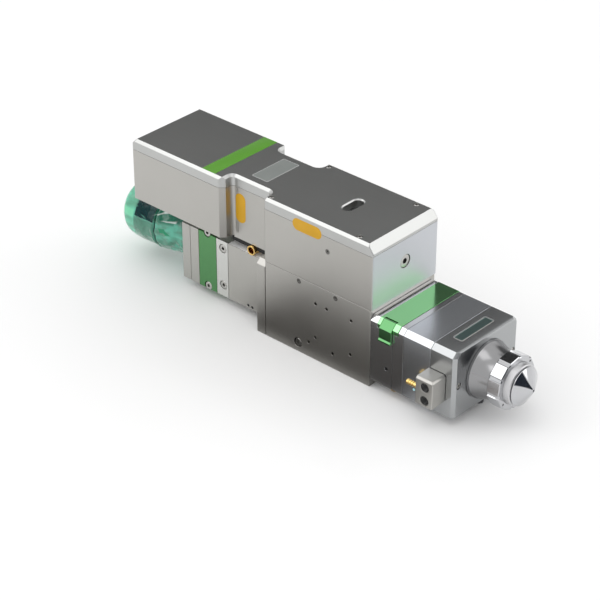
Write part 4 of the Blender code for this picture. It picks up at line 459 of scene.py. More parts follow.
def finished(piece, name, material, body="head", replaces=(), smooth=35):
    """Names a piece, gives it its finish, and rides it on its body."""
    settled(piece)
    bpy.ops.object.shade_smooth_by_angle(angle=math.radians(smooth))
    piece.name = name
    piece.data.name = name
    piece.data.materials.clear()
    piece.data.materials.append(material)
    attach(piece, body)
    if replaces:
        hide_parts(*replaces)


def apply_modifier(piece, kind, **settings):
    """Adds a modifier to a piece and applies it."""
    select(piece)
    modifier = piece.modifiers.new(kind.lower(), kind)
    for name, setting in settings.items():
        setattr(modifier, name, setting)
    bpy.ops.object.modifier_apply(modifier=modifier.name)


def cut_away(piece, cutter):
    """Cuts one shape from a piece and removes the cutter."""
    apply_modifier(piece, "BOOLEAN", operation="DIFFERENCE", solver="EXACT", object=cutter)
    bpy.data.objects.remove(cutter, do_unlink=True)


def bevel_sharp(piece, width, segments=2, angle=34):
    """Breaks every edge of a piece that is sharper than an angle."""
    start_editing(piece, "DESELECT")
    bpy.ops.mesh.select_mode(type="EDGE")
    bpy.ops.mesh.edges_select_sharp(sharpness=math.radians(angle))
    bpy.ops.mesh.bevel(offset=width, segments=segments, profile=0.5, clamp_overlap=True)
    stop_editing()


def turn(centre, axis, stations, segments=64, ring=False, edge=0.0):
    """A piece from the lathe: a circle is drawn out from station to station and scaled to each radius.

    Stations are (place along the axis, radius) from the centre. A ring closes on itself, and
    anything else gets a face at each end."""
    direction, turned_to = AXES[axis]
    centre = Vector(centre)
    along, radius = stations[0]
    bpy.ops.mesh.primitive_circle_add(vertices=segments, radius=radius, rotation=turned_to,
                                      location=centre + direction * along)
    piece = settled(bpy.context.object)
    start_editing(piece)
    for next_along, next_radius in stations[1:] + (stations[:1] if ring else []):
        step = direction * (next_along - along)
        bpy.ops.mesh.extrude_region_move(TRANSFORM_OT_translate={"value": step})
        ratio = next_radius / radius
        spread = [1.0 if abs(component) > 0.5 else ratio for component in direction]
        bpy.ops.transform.resize(value=spread, center_override=centre + direction * next_along)
        along, radius = next_along, next_radius
    bpy.ops.mesh.select_all(action="SELECT")
    if ring:
        bpy.ops.mesh.remove_doubles(threshold=HAIR / 10)
    else:
        bpy.ops.mesh.fill_holes(sides=0)
    bpy.ops.mesh.normals_make_consistent(inside=False)
    stop_editing()
    if edge:
        bevel_sharp(piece, edge)
    return piece


def bar(low, high, edge=0.0, corner=0.0):
    """A bar between two corners: its upright edges are rounded, and then all are broken."""
    low, high = Vector(low), Vector(high)
    bpy.ops.mesh.primitive_cube_add(size=1.0, location=(low + high) / 2)
    piece = bpy.context.object
    piece.scale = high - low
    settled(piece)
    if corner:
        start_editing(piece, "DESELECT")
        choose(piece, "edges", lambda e: abs((e.verts[0].co - e.verts[1].co).normalized().z) > 0.9)
        bpy.ops.mesh.bevel(offset=corner, segments=6)
        stop_editing()
    if edge:
        bevel_sharp(piece, edge)
    return piece


def drill(centre, axis, radius, depth, sides=24):
    """A cutter, round or with a few sides, that reaches a depth to both sides of its centre."""
    bpy.ops.mesh.primitive_cylinder_add(vertices=sides, radius=radius, depth=2 * depth,
                                        rotation=AXES[axis][1], location=centre)
    return settled(bpy.context.object)


def hexagon(centre, axis, across_flats, depth):
    """A hexagonal key, to cut a socket with."""
    return drill(centre, axis, across_flats / math.sqrt(3), depth, 6)


def copied(piece, offset):
    """A copy of a piece with a mesh of its own, moved by an offset."""
    twin = piece.copy()
    twin.data = piece.data.copy()
    bpy.context.scene.collection.objects.link(twin)
    twin.data.transform(Matrix.Translation(offset))
    return twin


def repeated(piece, name, offsets, material):
    """Finishes one modelled piece, and a copy of it at each offset."""
    pieces = [piece] + [copied(piece, Vector(offset)) for offset in offsets]
    for number, each in enumerate(pieces):
        finished(each, f"{name}_{number + 1}", material)


# The radius of a screw's shank, as a share of its head's
SHANK = 0.6


def socket_screw(face, axis, side, radius, height, socket, depth, rim=0.35 * MM):
    """A screw head on its shank, with a hexagonal socket. Face is the middle of its outer face, and
    side is the direction along the axis that it looks to. The socket is given across its flats."""
    shank = radius * SHANK
    head = turn(face, axis, [
        (-(height + depth) * side, shank), (-height * side, shank), (-height * side, radius),
        (-rim * side, radius), (0, radius - rim)], 40)
    cut_away(head, hexagon(face, axis, socket, depth))
    return head


def body_of(node):
    return frame["nodes"][node].parent.name.removeprefix("body:")


def dressed(node, material, edge=0.35 * MM, cutters=(), segments=2, long_edge=0.0):
    """A copy of a CAD node with its flat faces joined, its edges broken and its shading smoothed
    over the broken edges alone, which stands for the node. Its long edges may be broken wider."""
    piece = frame["nodes"][node].copy()
    piece.data = piece.data.copy()
    for key in list(piece.keys()):
        if key.startswith("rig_"):
            del piece[key]
    piece.parent = None
    bpy.context.scene.collection.objects.link(piece)
    select(piece)
    bpy.ops.mesh.customdata_custom_splitnormals_clear()
    start_editing(piece)
    bpy.ops.mesh.remove_doubles(threshold=HAIR / 10)
    bpy.ops.mesh.dissolve_limited(angle_limit=math.radians(0.4))
    stop_editing()
    for cutter in cutters:
        cut_away(piece, cutter)
    if long_edge:
        start_editing(piece, "DESELECT")
        choose(piece, "edges", lambda e: e.calc_length() > 25 * MM and e.is_manifold
               and e.calc_face_angle() > 1)
        bpy.ops.mesh.bevel(offset=long_edge, segments=segments)
        stop_editing()
    # The wider angle leaves the long edges as they are
    bevel_sharp(piece, edge, segments, angle=50 if long_edge else 34)
    finished(piece, f"{node}_finished", material, body_of(node), [node], smooth=60)
    apply_modifier(piece, "WEIGHTED_NORMAL", mode="FACE_AREA", keep_sharp=True)


def stands_for(piece, node, material, smooth=35):
    """Finishes a new piece that takes the place of a CAD node."""
    finished(piece, f"{node}_finished", material, body_of(node), [node], smooth)


# Milled blocks

SEAM_X = -100 * MM
SHOULDER_X = -105.8 * MM
SHOULDER_CHAMFER = 4.2 * MM


def shoulder_cutters():
    """Square cutters on edge, which leave chamfers where the rear box steps in to the neck."""
    beyond = MM
    half_width = highest("drive_housing").y
    return [drill((SHOULDER_X + beyond, side * (half_width + beyond), COVER_TOP), "z",
                  SHOULDER_CHAMFER + 2 * beyond, 70 * MM, 4) for side in (-1, 1)]


def drive_housing():
    """The housing, with its chamfered shoulders and the seam beside the neck's label."""
    low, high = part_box("drive_housing")
    half_width = 0.25 * MM
    seam = bar((SEAM_X - half_width, NECK_SIDE - 2 * MM, low.z + 5 * MM),
               (SEAM_X + half_width, NECK_SIDE + 0.5 * MM, high.z + MM))
    dressed("drive_housing", HOUSING, cutters=[seam] + shoulder_cutters())


# Screws in the collimator: name, place along the beam, height from the beam and head radius
COLLIMATOR_SCREWS = (("clamp_screw", -118.15 * MM, 18 * MM, 3.7 * MM),
                     ("green_cover_screw", -136.6 * MM, 26.3 * MM, 3.6 * MM))
SET_SCREWS = (("window_housing_set_screw", (74 * MM, NEAR_SIDE, 24.9 * MM), 1.7 * MM),
              ("collimator_set_screw_rear", (-89.2 * MM, COLLIMATOR_SIDE, 10.6 * MM), 1.4 * MM),
              ("collimator_set_screw_front", (-84.6 * MM, COLLIMATOR_SIDE, 10.2 * MM), 1.4 * MM))


def shank_holes(x, reach, radius):
    """Cutters for the shanks of a collimator part's four screws."""
    return [drill((x, side * COLLIMATOR_SIDE, BEAM_Z + end * reach), "y", radius * SHANK, 5 * MM)
            for side in (-1, 1) for end in (-1, 1)]


def set_screw_holes(prefix):
    return [drill(place, "y", radius, 2.5 * MM) for name, place, radius in SET_SCREWS
            if name.startswith(prefix)]


drive_housing()
dressed("centre_block", SILVER, long_edge=0.6 * MM)
dressed("collimator_clamp", PALE_SILVER, cutters=shank_holes(*COLLIMATOR_SCREWS[0][1:]))
dressed("collimator_cover", GREEN, cutters=shank_holes(*COLLIMATOR_SCREWS[1][1:]))
dressed("collimator_block", SILVER, cutters=set_screw_holes("collimator"))
dressed("window_housing", PLATE_DECK, cutters=set_screw_holes("window"))
for block in ("rear_flange", "rear_spacer", "fiber_flange"):
    dressed(block, SILVER)
for block, finish in (("seal_plate", PLATE_DECK), ("sensor_mount", DECK), ("front_module", FRONT_DECK)):
    dressed(block, finish, 0.55 * MM)
dressed("port_block", SILVER, 0.5 * MM)
dressed("top_cover", COVER, 0.4 * MM, shoulder_cutters())
dressed("drawer_cap", DECK_GREEN)
dressed("drawer_latch", GREEN, 0.25 * MM)
dressed("drawer_tray", SILVER, 0.25 * MM)


# Turned pieces at the nozzle

def sensor_body():
    """The flared neck: a thin base disc and a concave flare that ends under the lock ring."""
    low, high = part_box("sensor_body")
    base = high.y
    waist, rim, bore, curve, steps = 21.6 * MM, 1.2 * MM, 9 * MM, 2.2, 18
    length = high.x - low.x
    ledge = 0.5 * MM
    start, wide = rim + ledge, base - ledge
    outline = [(0, bore), (0, base), (rim, base), (rim, wide), (start, wide)]
    for i in range(1, steps + 1):
        share = i / steps
        radius = waist + (wide - waist) * (1 - share) ** curve
        outline.append((start + (length - start) * share, radius))
    outline.append((length, bore))
    body = turn((low.x, 0, BEAM_Z), "x", outline, 128, ring=True)
    stands_for(body, "sensor_body", SATIN)


def lock_ring():
    """The clamping ring, with two pin holes in its face for the spanner."""
    front = highest("lock_ring").x
    circle, angle = 20.6 * MM, math.radians(38)
    pins = []
    for side in (-1, 1):
        place = (front, side * circle * math.cos(angle), BEAM_Z + side * circle * math.sin(angle))
        pins.append(drill(place, "x", 0.9 * MM, 3 * MM))
    dressed("lock_ring", CHROME, 0.35 * MM, pins, segments=3)


def nozzle_holder():
    """The holder, wide where the lock ring clamps it and narrower in front of the ring's seat."""
    low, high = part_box("nozzle_holder")
    radius, bore, chamfer = 17.8 * MM, 6.5 * MM, 0.7 * MM
    seat = highest("lock_ring").x - 2.8 * MM
    holder = turn((0, 0, BEAM_Z), "x", [
        (low.x, bore), (low.x, high.y), (seat, high.y), (seat, radius), (high.x - chamfer, radius),
        (high.x, radius - chamfer), (high.x, bore)], 128, ring=True, edge=0.15 * MM)
    stands_for(holder, "nozzle_holder", PALE_SATIN)


def nozzle():
    """The nozzle: stem, narrow rim, polished cone and a small mouth."""
    low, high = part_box("nozzle")
    radius = high.y
    rim, cone = 1.3 * MM, 8.8 * MM
    tip, mouth, stem, stem_bore = 1.9 * MM, MM, 6 * MM, 3 * MM
    seat = high.x - rim - cone
    tip_nozzle = turn((0, 0, BEAM_Z), "x", [
        (low.x, stem_bore), (low.x, stem), (seat, stem), (seat, radius - 0.6 * MM),
        (seat + 0.6 * MM, radius), (seat + rim, radius), (high.x - 0.3 * MM, tip + 0.35 * MM),
        (high.x, tip - 0.2 * MM), (high.x, mouth), (high.x - 2 * MM, mouth),
    ], 128, ring=True, edge=0.12 * MM)
    stands_for(tip_nozzle, "nozzle", CHROME)


sensor_body()
lock_ring()
nozzle_holder()
nozzle()


# Turned pieces at the fiber

def fiber_receptacle():
    """The receptacle, with a flange at its front and a groove that the collar turns in."""
    low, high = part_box("fiber_receptacle")
    flange, body, groove = high.y, 17 * MM, 15 * MM
    bore, throat, depth = 8 * MM, 5 * MM, 34 * MM
    step = high.x - 6.7 * MM
    room = 0.3 * MM
    rear, front = lowest("fiber_collar").x - room, highest("fiber_collar").x + room
    receptacle = turn((0, 0, BEAM_Z), "x", [
        (high.x, throat), (high.x, flange), (step, flange), (step, body), (front, body),
        (front, groove), (rear, groove), (rear, body), (low.x, body), (low.x, bore),
        (low.x + depth, bore), (low.x + depth, throat)], 96, ring=True, edge=0.3 * MM)
    stands_for(receptacle, "fiber_receptacle", PALE_SATIN)


def fiber_cap():
    """The dust cap: a plug with a ribbed cap for the fingers."""
    low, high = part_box("fiber_cap")
    radius, plug = high.y, 7.7 * MM
    face = lowest("fiber_receptacle").x - 0.3 * MM
    outline = [(low.x, radius - 1.5 * MM), (low.x + 1.5 * MM, radius)]
    rib, pitch = 0.5 * MM, 3 * MM
    x = low.x + 4 * MM
    while x < face - pitch:
        outline += [(x, radius), (x + 0.4 * MM, radius - rib), (x + 1.2 * MM, radius - rib),
                    (x + 1.6 * MM, radius)]
        x += pitch
    outline += [(face, radius), (face, plug), (high.x, plug)]
    cap = turn((0, 0, BEAM_Z), "x", outline, 96, edge=0.1 * MM)
    stands_for(cap, "fiber_cap", NAVY)


fiber_receptacle()
fiber_cap()
dressed("fiber_collar", SILVER, 0.4 * MM)


# Fittings, ports and connectors

def water_fitting():
    """The brass fitting: a turned barrel with a groove, and a chamfered mouth to the near side."""
    low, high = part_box("water_fitting")
    centre = centre_of("water_fitting")
    radius, bore = radius_of("water_fitting"), 3.1 * MM
    groove, lip = radius - 0.4 * MM, 0.15 * MM
    fitting = turn((centre.x, 0, centre.z), "y", [
        (high.y, radius - 0.5 * MM), (high.y - 0.5 * MM, radius), (low.y + 5 * MM, radius),
        (low.y + 4.6 * MM, groove), (low.y + 3.6 * MM, groove), (low.y + 3.2 * MM, radius),
        (low.y + lip, radius), (low.y, radius - lip), (low.y, bore + lip), (low.y + lip, bore),
        (high.y - 4 * MM, bore)], 64)
    stands_for(fitting, "water_fitting", BRASS)


def hose_port(node):
    """A threaded hose port: a thin flange, and ridges down its bore."""
    low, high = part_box(node)
    centre = centre_of(node)
    radius, bore, ridge, pitch = radius_of(node), 2.6 * MM, 0.35 * MM, 0.9 * MM
    outline = [(high.y, radius), (low.y + 0.3 * MM, radius), (low.y, radius - 0.3 * MM),
               (low.y, bore + 0.5 * MM), (low.y + 0.5 * MM, bore)]
    along = low.y + 0.8 * MM
    while along < high.y - 2.8 * MM:
        outline += [(along, bore), (along + pitch / 3, bore - ridge), (along + pitch / 2, bore - ridge)]
        along += pitch
    outline += [(high.y - 2.3 * MM, bore)]
    port = turn((centre.x, 0, centre.z), "y", outline, 48)
    stands_for(port, node, GLOSSY_BLACK)


def coax_socket():
    """The gold-plated coaxial socket: a ringed barrel out of the sensor mount into the port block."""
    low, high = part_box("coax_socket")
    centre = centre_of("coax_socket")
    radius = radius_of("coax_socket")
    neck = radius - 0.5 * MM
    length = high.x - low.x
    outline = [(0, 1.2 * MM), (0, radius - 0.3 * MM), (0.3 * MM, radius)]
    for ring_start in (2.2 * MM, 4.4 * MM, 6.6 * MM):
        outline += [(ring_start, radius), (ring_start + 0.2 * MM, neck), (ring_start + 0.9 * MM, neck),
                    (ring_start + 1.1 * MM, radius)]
    outline += [(length, radius), (length, 1.2 * MM)]
    socket = turn((low.x, centre.y, centre.z), "x", outline, 48, ring=True)
    stands_for(socket, "coax_socket", GOLD)


def power_connector():
    """The round connector on the rear wall: flange, threaded barrel, insulator and four pins."""
    low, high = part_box("power_connector")
    centre = centre_of("power_connector")
    wall = lowest("drive_housing").x
    flange, barrel, throat, bore = radius_of("power_connector"), 9.5 * MM, 8 * MM, 7.2 * MM
    outline = [(high.x, throat), (wall - 0.3 * MM, throat), (wall - 0.3 * MM, flange),
               (wall - 2.4 * MM, flange)]
    along = wall - 3.2 * MM
    valley = barrel - 0.4 * MM
    while along > low.x + 1.6 * MM:
        outline += [(along, barrel), (along - 0.45 * MM, valley), (along - 0.6 * MM, valley)]
        along -= 1.1 * MM
    outline += [(along, barrel), (low.x + 0.4 * MM, barrel), (low.x, valley), (low.x, bore),
                (wall - 2.4 * MM, bore)]
    shell = turn((0, centre.y, centre.z), "x", outline, 64)
    stands_for(shell, "power_connector", BLACK)
    pin = turn((0, centre.y - 2.6 * MM, centre.z - 2.6 * MM), "x", [
        (wall - 2.4 * MM, 0.8 * MM), (low.x + 2.5 * MM, 0.8 * MM), (low.x + 2 * MM, 0.45 * MM)], 20)
    pitch = 5.2 * MM
    repeated(pin, "power_pin", [(0, pitch, 0), (0, 0, pitch), (0, pitch, pitch)], GOLD)


def screw_end_plug():
    """The plug at the front of the ball screw, with a hexagonal socket."""
    low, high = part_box("screw_end_plug")
    radius, shank = high.y, 4.2 * MM
    head = high.x - 3 * MM
    plug = turn((0, 0, SCREW_AXIS_Z), "x", [
        (low.x, shank), (head, shank), (head, radius), (high.x - 0.5 * MM, radius),
        (high.x, radius - 0.5 * MM)], 64, edge=0.1 * MM)
    cut_away(plug, hexagon((high.x, 0, SCREW_AXIS_Z), "x", 4.6 * MM, 6 * MM))
    stands_for(plug, "screw_end_plug", SCREW_STEEL)


water_fitting()
hose_port("port_upper")
hose_port("port_lower")
coax_socket()
power_connector()
screw_end_plug()


# Screws, dowels and small fittings

def cover_screws():
    """Four socket screws sunk in the cover."""
    rear, front, y = -55 * MM, 39.5 * MM, 34.7 * MM
    screw = socket_screw((rear, -y, COVER_TOP - 0.15 * MM), "z", 1, radius=2.3 * MM, height=2 * MM,
                         socket=1.9 * MM, depth=1.5 * MM, rim=0.8 * MM)
    offsets = [(front - rear, 0, 0), (0, 2 * y, 0), (front - rear, 2 * y, 0)]
    repeated(screw, "cover_screw", offsets, SCREW_STEEL)


def collimator_screws():
    """Two socket screws on each side of the clamp, and two on each side of the green cover, where they
    break its edges."""
    for name, x, reach, radius in COLLIMATOR_SCREWS:
        for label, side in (("near", -1), ("far", 1)):
            face = (x, side * (-COLLIMATOR_SIDE - 0.25 * MM), BEAM_Z - reach)
            screw = socket_screw(face, "y", side, radius, height=MM, socket=2.9 * MM, depth=3.5 * MM)
            repeated(screw, f"{name}_{label}", [(0, 0, 2 * reach)], SCREW_STEEL)


def front_screws():
    """The two screws sunk in the front face."""
    y = 34 * MM
    screw = socket_screw((FRONT_FACE - 0.5 * MM, -y, BEAM_Z), "x", 1, radius=2.6 * MM, height=2 * MM,
                         socket=2.4 * MM, depth=1.6 * MM, rim=0.5 * MM)
    repeated(screw, "front_screw", [(0, 2 * y, 0)], SCREW_STEEL)


def side_screw():
    """The large screw low on the near side of the centre block."""
    face = (-21.4 * MM, NEAR_SIDE + 0.5 * MM, 8.6 * MM)
    screw = socket_screw(face, "y", -1, radius=3.7 * MM, height=3 * MM, socket=3.4 * MM,
                         depth=2 * MM, rim=0.6 * MM)
    finished(screw, "side_screw", SIDE_STEEL)


def dowels():
    """Three ground dowels flush with the near side."""
    radius, proud = 2.3 * MM, 0.12 * MM
    first = Vector((-20.3 * MM, 0, 68.4 * MM))
    dowel = turn((first.x, NEAR_SIDE, first.z), "y", [
        (MM, radius), (-proud / 2, radius), (-proud, radius - 0.15 * MM), (-proud, radius * 0.45),
        (0, radius * 0.35)], 40)
    offsets = [(39.8 * MM, 0, 0), (30.9 * MM, 0, 39.9 * MM)]
    repeated(dowel, "dowel", offsets, DOWEL_STEEL)


def set_screws():
    """Set screws sunk in the window housing's side, and low in the collimator block."""
    for name, (x, y, z), radius in SET_SCREWS:
        screw = turn((x, y, z), "y", [
            (2.5 * MM, radius), (0.5 * MM, radius), (0.3 * MM, radius - 0.2 * MM)], 32)
        cut_away(screw, hexagon((x, y + 0.3 * MM, z), "y", radius, 1.5 * MM))
        finished(screw, name, DARK_STEEL)


def underside_plugs():
    """The brass plug under the window housing and the dark foot under the front module."""
    plug = turn((81 * MM, -36.5 * MM, UNDERSIDE), "z", [
        (0.5 * MM, 3.4 * MM), (-1.2 * MM, 3.4 * MM), (-1.8 * MM, 2.6 * MM)], 40)
    finished(plug, "underside_plug", BRASS)
    foot = turn((138.5 * MM, -1 * MM, UNDERSIDE), "z", [
        (0.5 * MM, 4 * MM), (-3.4 * MM, 4 * MM), (-4.6 * MM, 2.8 * MM)], 40)
    finished(foot, "underside_foot", DARK_STEEL)


def indicator():
    """The small indicator light under the coaxial socket."""
    lens = turn((103.2 * MM, NEAR_SIDE, 18.5 * MM), "y", [
        (0.5 * MM, 1.1 * MM), (-0.1 * MM, 1.1 * MM), (-0.4 * MM, 0.9 * MM), (-0.6 * MM, 0.5 * MM)], 32)
    finished(lens, "indicator_light", LIGHT_LENS)


cover_screws()
collimator_screws()
front_screws()
side_screw()
dowels()
set_screws()
underside_plugs()
indicator()


# Labels, band and plates, all bare

LABEL_THICKNESS = 0.12 * MM


def green_band():
    """The green band across the cover, as wide as the cover's flat top."""
    half = 37.8 * MM
    low = (-130.9 * MM, -half, COVER_TOP - HAIR)
    high = (-116.1 * MM, half, COVER_TOP + LABEL_THICKNESS)
    finished(bar(low, high, 0.04 * MM), "green_band", GREEN_BAND)


def silver_sticker():
    """The silver sticker: a pale rim with the blank field on it."""
    low = Vector((-92.1 * MM, -19.2 * MM, COVER_TOP - HAIR))
    high = Vector((-74.3 * MM, 20.1 * MM, COVER_TOP + LABEL_THICKNESS / 2))
    rim = bar(low, high, 0.02 * MM, corner=1.2 * MM)
    finished(rim, "silver_sticker_rim", LABEL_RIM)
    inset = Vector((0.6 * MM, 0.6 * MM, 0))
    above = Vector((0, 0, LABEL_THICKNESS / 2))
    field = bar(low + inset, high - inset + above, 0.02 * MM, corner=MM)
    finished(field, "silver_sticker_field", SILVER_LABEL)


def stadium_label(name, centre, long_axis, width, length):
    """A yellow label with round ends on a face that looks to the near side."""
    bpy.ops.mesh.primitive_circle_add(vertices=62, radius=width / 2, fill_type="NGON",
                                      rotation=AXES["y"][1], location=centre)
    label = settled(bpy.context.object)
    start_editing(label, "DESELECT")
    for side in (-1, 1):
        choose(label, "verts", lambda vert: (vert.co[long_axis] - centre[long_axis]) * side > HAIR / 10)
        shift = [0, 0, 0]
        shift[long_axis] = side * (length - width) / 2
        bpy.ops.transform.translate(value=shift)
    bpy.ops.mesh.select_all(action="SELECT")
    bpy.ops.mesh.extrude_region_move(TRANSFORM_OT_translate={"value": (0, -LABEL_THICKNESS, 0)})
    bpy.ops.mesh.select_all(action="SELECT")
    bpy.ops.mesh.fill_holes(sides=0)
    bpy.ops.mesh.normals_make_consistent(inside=False)
    stop_editing()
    bevel_sharp(label, 0.04 * MM)
    finished(label, name, YELLOW)


def recessed_plate():
    """The bare plate in the front module's pocket, with a raised rim."""
    middle = Vector((129.1 * MM, 0, DECK_TOP - 0.5 * MM))
    half = Vector((4.5 * MM, 20.4 * MM, 0))
    inner = half - Vector((0.55 * MM, 0.55 * MM, 0))

    def raised(height):
        return middle + Vector((0, 0, height))

    rim = bar(raised(-HAIR) - half, raised(0.4 * MM) + half, 0.15 * MM, corner=1.3 * MM)
    cut_away(rim, bar(raised(0.1 * MM) - inner, raised(MM) + inner, corner=MM))
    finished(rim, "recessed_plate_rim", PALE_SILVER)
    plate = bar(raised(0) - inner, raised(0.2 * MM) + inner, corner=MM)
    finished(plate, "recessed_plate", PLATE)


def collimator_shim():
    """A thin white sheet on the collimator block's top, under the neck's pad: a painted highlight for
    the light that the block's top catches.
    """
    low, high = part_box("collimator_block")
    inset = 0.5 * MM
    highlight_sheet = bar((low.x + inset, low.y + inset, high.z - HAIR),
               (high.x - inset, high.y - inset, high.z + 0.1 * MM), 0.03 * MM)
    finished(highlight_sheet, "collimator_shim", WHITE_HIGHLIGHT_SHEET)


def neck_strip():
    """The black strip that closes the gap under the neck on its near side, cut round the fitting."""
    low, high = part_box("neck_pad")
    strip = bar((low.x - 5 * MM, NECK_SIDE + 1.5 * MM, high.z - 4.6 * MM),
                (high.x, low.y - 0.3 * MM, high.z))
    hole = radius_of("water_fitting") + 0.15 * MM
    cut_away(strip, drill(centre_of("water_fitting"), "y", hole, 40 * MM, 48))
    finished(strip, "neck_strip", RUBBER)


def scale_marks():
    """White graduations on the scale plate, a long one every fifth."""
    top = highest("scale_plate").z
    zero = centre_of("scale_plate").x - 3 * MM
    near_share = 0.7
    marks = []
    for number in range(-16, 22):
        x = zero + number * MM
        length = 4 * MM if number % 5 else 7 * MM
        marks.append(bar((x, -near_share * length, top - HAIR),
                         (x + 0.35 * MM, (1 - near_share) * length, top + 0.08 * MM)))
    select(*marks)
    bpy.ops.object.join()
    finished(marks[0], "scale_marks", WHITE_INK, body_of("scale_plate"))


green_band()
silver_sticker()
stadium_label("yellow_label_housing", (-11.5 * MM, NEAR_SIDE + HAIR, 120.9 * MM), long_axis=0,
              width=10.9 * MM, length=31.2 * MM)
stadium_label("yellow_label_neck", (-96.6 * MM, NECK_SIDE + HAIR, 102.2 * MM), long_axis=2,
              width=11.4 * MM, length=27.5 * MM)
recessed_plate()
collimator_shim()
neck_strip()
scale_marks()


# Protective film: its profile in millimetres, from the mouth and from the beam

FILM_PROFILE = ((-2, 20.3), (-14, 20.8), (-27, 24.0), (-37, 25.4), (-47.5, 25.8), (-56, 26.2),
                (-66, 26.2), (-71, 26.1), (-75, 25.4), (-78, 23.4), (-80, 20), (-81.5, 14),
                (-83, 6.5), (-87, 4.2), (-94, 4.6), (-96.5, 3.2))


def film_radius(x, mouth):
    """The film's radius at a place along the beam: snug on the flange, wide over the collar and cap,
    and pinched at its end."""
    along = (x - mouth) / MM
    for (x0, r0), (x1, r1) in zip(FILM_PROFILE, FILM_PROFILE[1:]):
        if along >= x1:
            share = max(0.0, (along - x0) / (x1 - x0))
            share = share * share * (3 - 2 * share) * 0.5 + share * 0.5
            return (r0 + (r1 - r0) * share) * MM
    return FILM_PROFILE[-1][1] * MM


def folded_wave(phase):
    """A sharp-crested wave from -1 to 1, as creased sheet makes it."""
    return 1 - 4 * abs((phase % 1.0) - 0.5)


def film_fold(x, angle, mouth):
    """How far the film stands off its plain radius, in metres: a tuck and a lip at the tie, pleats that
    die away to both sides of it, and creases in front of it."""
    from_tie = (x - TIE_X) / MM
    around = Vector((math.cos(angle), math.sin(angle), 0))
    wander = noise.noise(Vector((x * 60, around.x * 1.3, around.y * 1.3 + 5)))
    front = 1 / (1 + math.exp(-from_tie / 2.5))
    tuck = -2.2 * math.exp(-(from_tie / 0.9) ** 2)
    lip = 0.4 * math.exp(-((from_tie + 2.2) / 1.5) ** 2)
    above = 0.5 + 0.5 * math.sin(angle)
    pleat = max(-0.35, folded_wave(angle * 13 / math.tau + wander * 0.7))
    pleat *= 2.0 * front * (0.3 + above) * math.exp(-abs(from_tie - 5) / 9)
    pleat += 0.5 * (1 - front) * folded_wave(angle * 19 / math.tau + wander) * math.exp(from_tie / 6)
    crumple = 0.0
    for tilt, pitch, size, seed in ((0.4, 19, 1.0, 0.1), (-0.7, 13, 0.7, 0.45), (1.2, 9, 0.4, 0.8)):
        along = (x / MM * math.cos(tilt) + 24 * angle * math.sin(tilt)) / pitch
        bend = noise.noise(Vector((x * 30 + seed * 10, around.x, around.y))) * 1.2
        crumple += size * folded_wave(along + seed + bend)
    patch = noise.noise(Vector((x * 28 + 3, around.x * 0.9, around.y * 0.9)))
    crumple *= 0.8 * (front * (0.55 + 0.9 * patch) + (1 - front) * 0.10)
    grip = min(1.0, max(0.0, (mouth - x) / (6 * MM)))
    return (tuck + lip + pleat + crumple) * MM * grip


def film_wrap():
    """The film drawn over the receptacle and its cap like a bag, tied behind the collar.

    It is one open sheet, gathered into pleats at the tie and pinched at the rear, and it gets its
    thickness last."""
    low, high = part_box("film_wrap")
    mouth = high.x + 1.7 * MM
    end = low.x + 1.4 * MM
    pinch, smoothed_below = mouth - 81 * MM, 20 * MM
    # The rings crowd towards the pinched end
    rings, around, crowding = 150, 190, 1.25
    points, faces = [], []
    for i in range(rings):
        share = i / (rings - 1)
        x_plain = high.x + (end - high.x) * (1 - (1 - share) ** crowding)
        for j in range(around):
            angle = math.tau * j / around
            radius = film_radius(x_plain, mouth)
            fold = film_fold(x_plain, angle, high.x) * min(1.0, (radius / smoothed_below) ** 2)
            radius = max(0.4 * MM, radius + fold)
            flat = min(1.0, max(0.0, (pinch - x_plain) / (5 * MM)))
            behind = min(1.0, max(0.0, (TIE_X - x_plain) / (15 * MM)))
            lean = radius * math.sin(angle) * 0.12 * behind * (1 - flat)
            points.append((x_plain - lean, radius * math.cos(angle) * (1 - 0.7 * flat),
                           BEAM_Z + radius * math.sin(angle) * (1 + 0.8 * flat)))
    for i in range(rings - 1):
        for j in range(around):
            k = (j + 1) % around
            here, there = i * around, (i + 1) * around
            faces.append((here + j, here + k, there + k, there + j))
    faces.append(tuple((rings - 1) * around + j for j in range(around)))
    mesh = bpy.data.meshes.new("film")
    mesh.from_pydata(points, [], faces)
    film = bpy.data.objects.new("film", mesh)
    bpy.context.scene.collection.objects.link(film)
    start_editing(film)
    bpy.ops.mesh.normals_make_consistent(inside=False)
    stop_editing()
    apply_modifier(film, "SOLIDIFY", thickness=0.15 * MM, offset=-1.0)
    stands_for(film, "film_wrap", FILM, smooth=50)


film_wrap()


# CAD nodes that stay as they are, with their finishes

PLAIN = (
    (STEEL, "motor_shaft ball_screw fixed_bearing free_bearing ball_nut linear_rail_near "
            "linear_rail_far rail_block_near rail_block_far focus_retainer window_retainer latch_pin"),
    (SILVER, "coupling_motor_hub coupling_screw_hub lens_carriage focus_barrel collimator_cell"),
    (GLASS, "focus_lens collimator_lens window_glass"),
    (SMOKED_GLASS, "sight_window"),
    (BLACK, "servo_motor encoder_cover scale_plate"),
    (RUBBER, "neck_pad window_seal"),
    (RED_RUBBER, "coupling_spider"),
    (BOARD, "limit_sensors"),
    (CERAMIC, "ceramic_ring"),
)
for material, nodes in PLAIN:
    for node in nodes.split():
        mesh = frame["nodes"][node].data
        mesh.materials.clear()
        mesh.materials.append(material)


# Camera, light and floor

def direction_of(azimuth, elevation):
    """The direction from the head to a place round it: azimuth from -Y towards +X, then upwards."""
    level = math.cos(elevation)
    return Vector((math.sin(azimuth) * level, -math.cos(azimuth) * level, math.sin(elevation)))


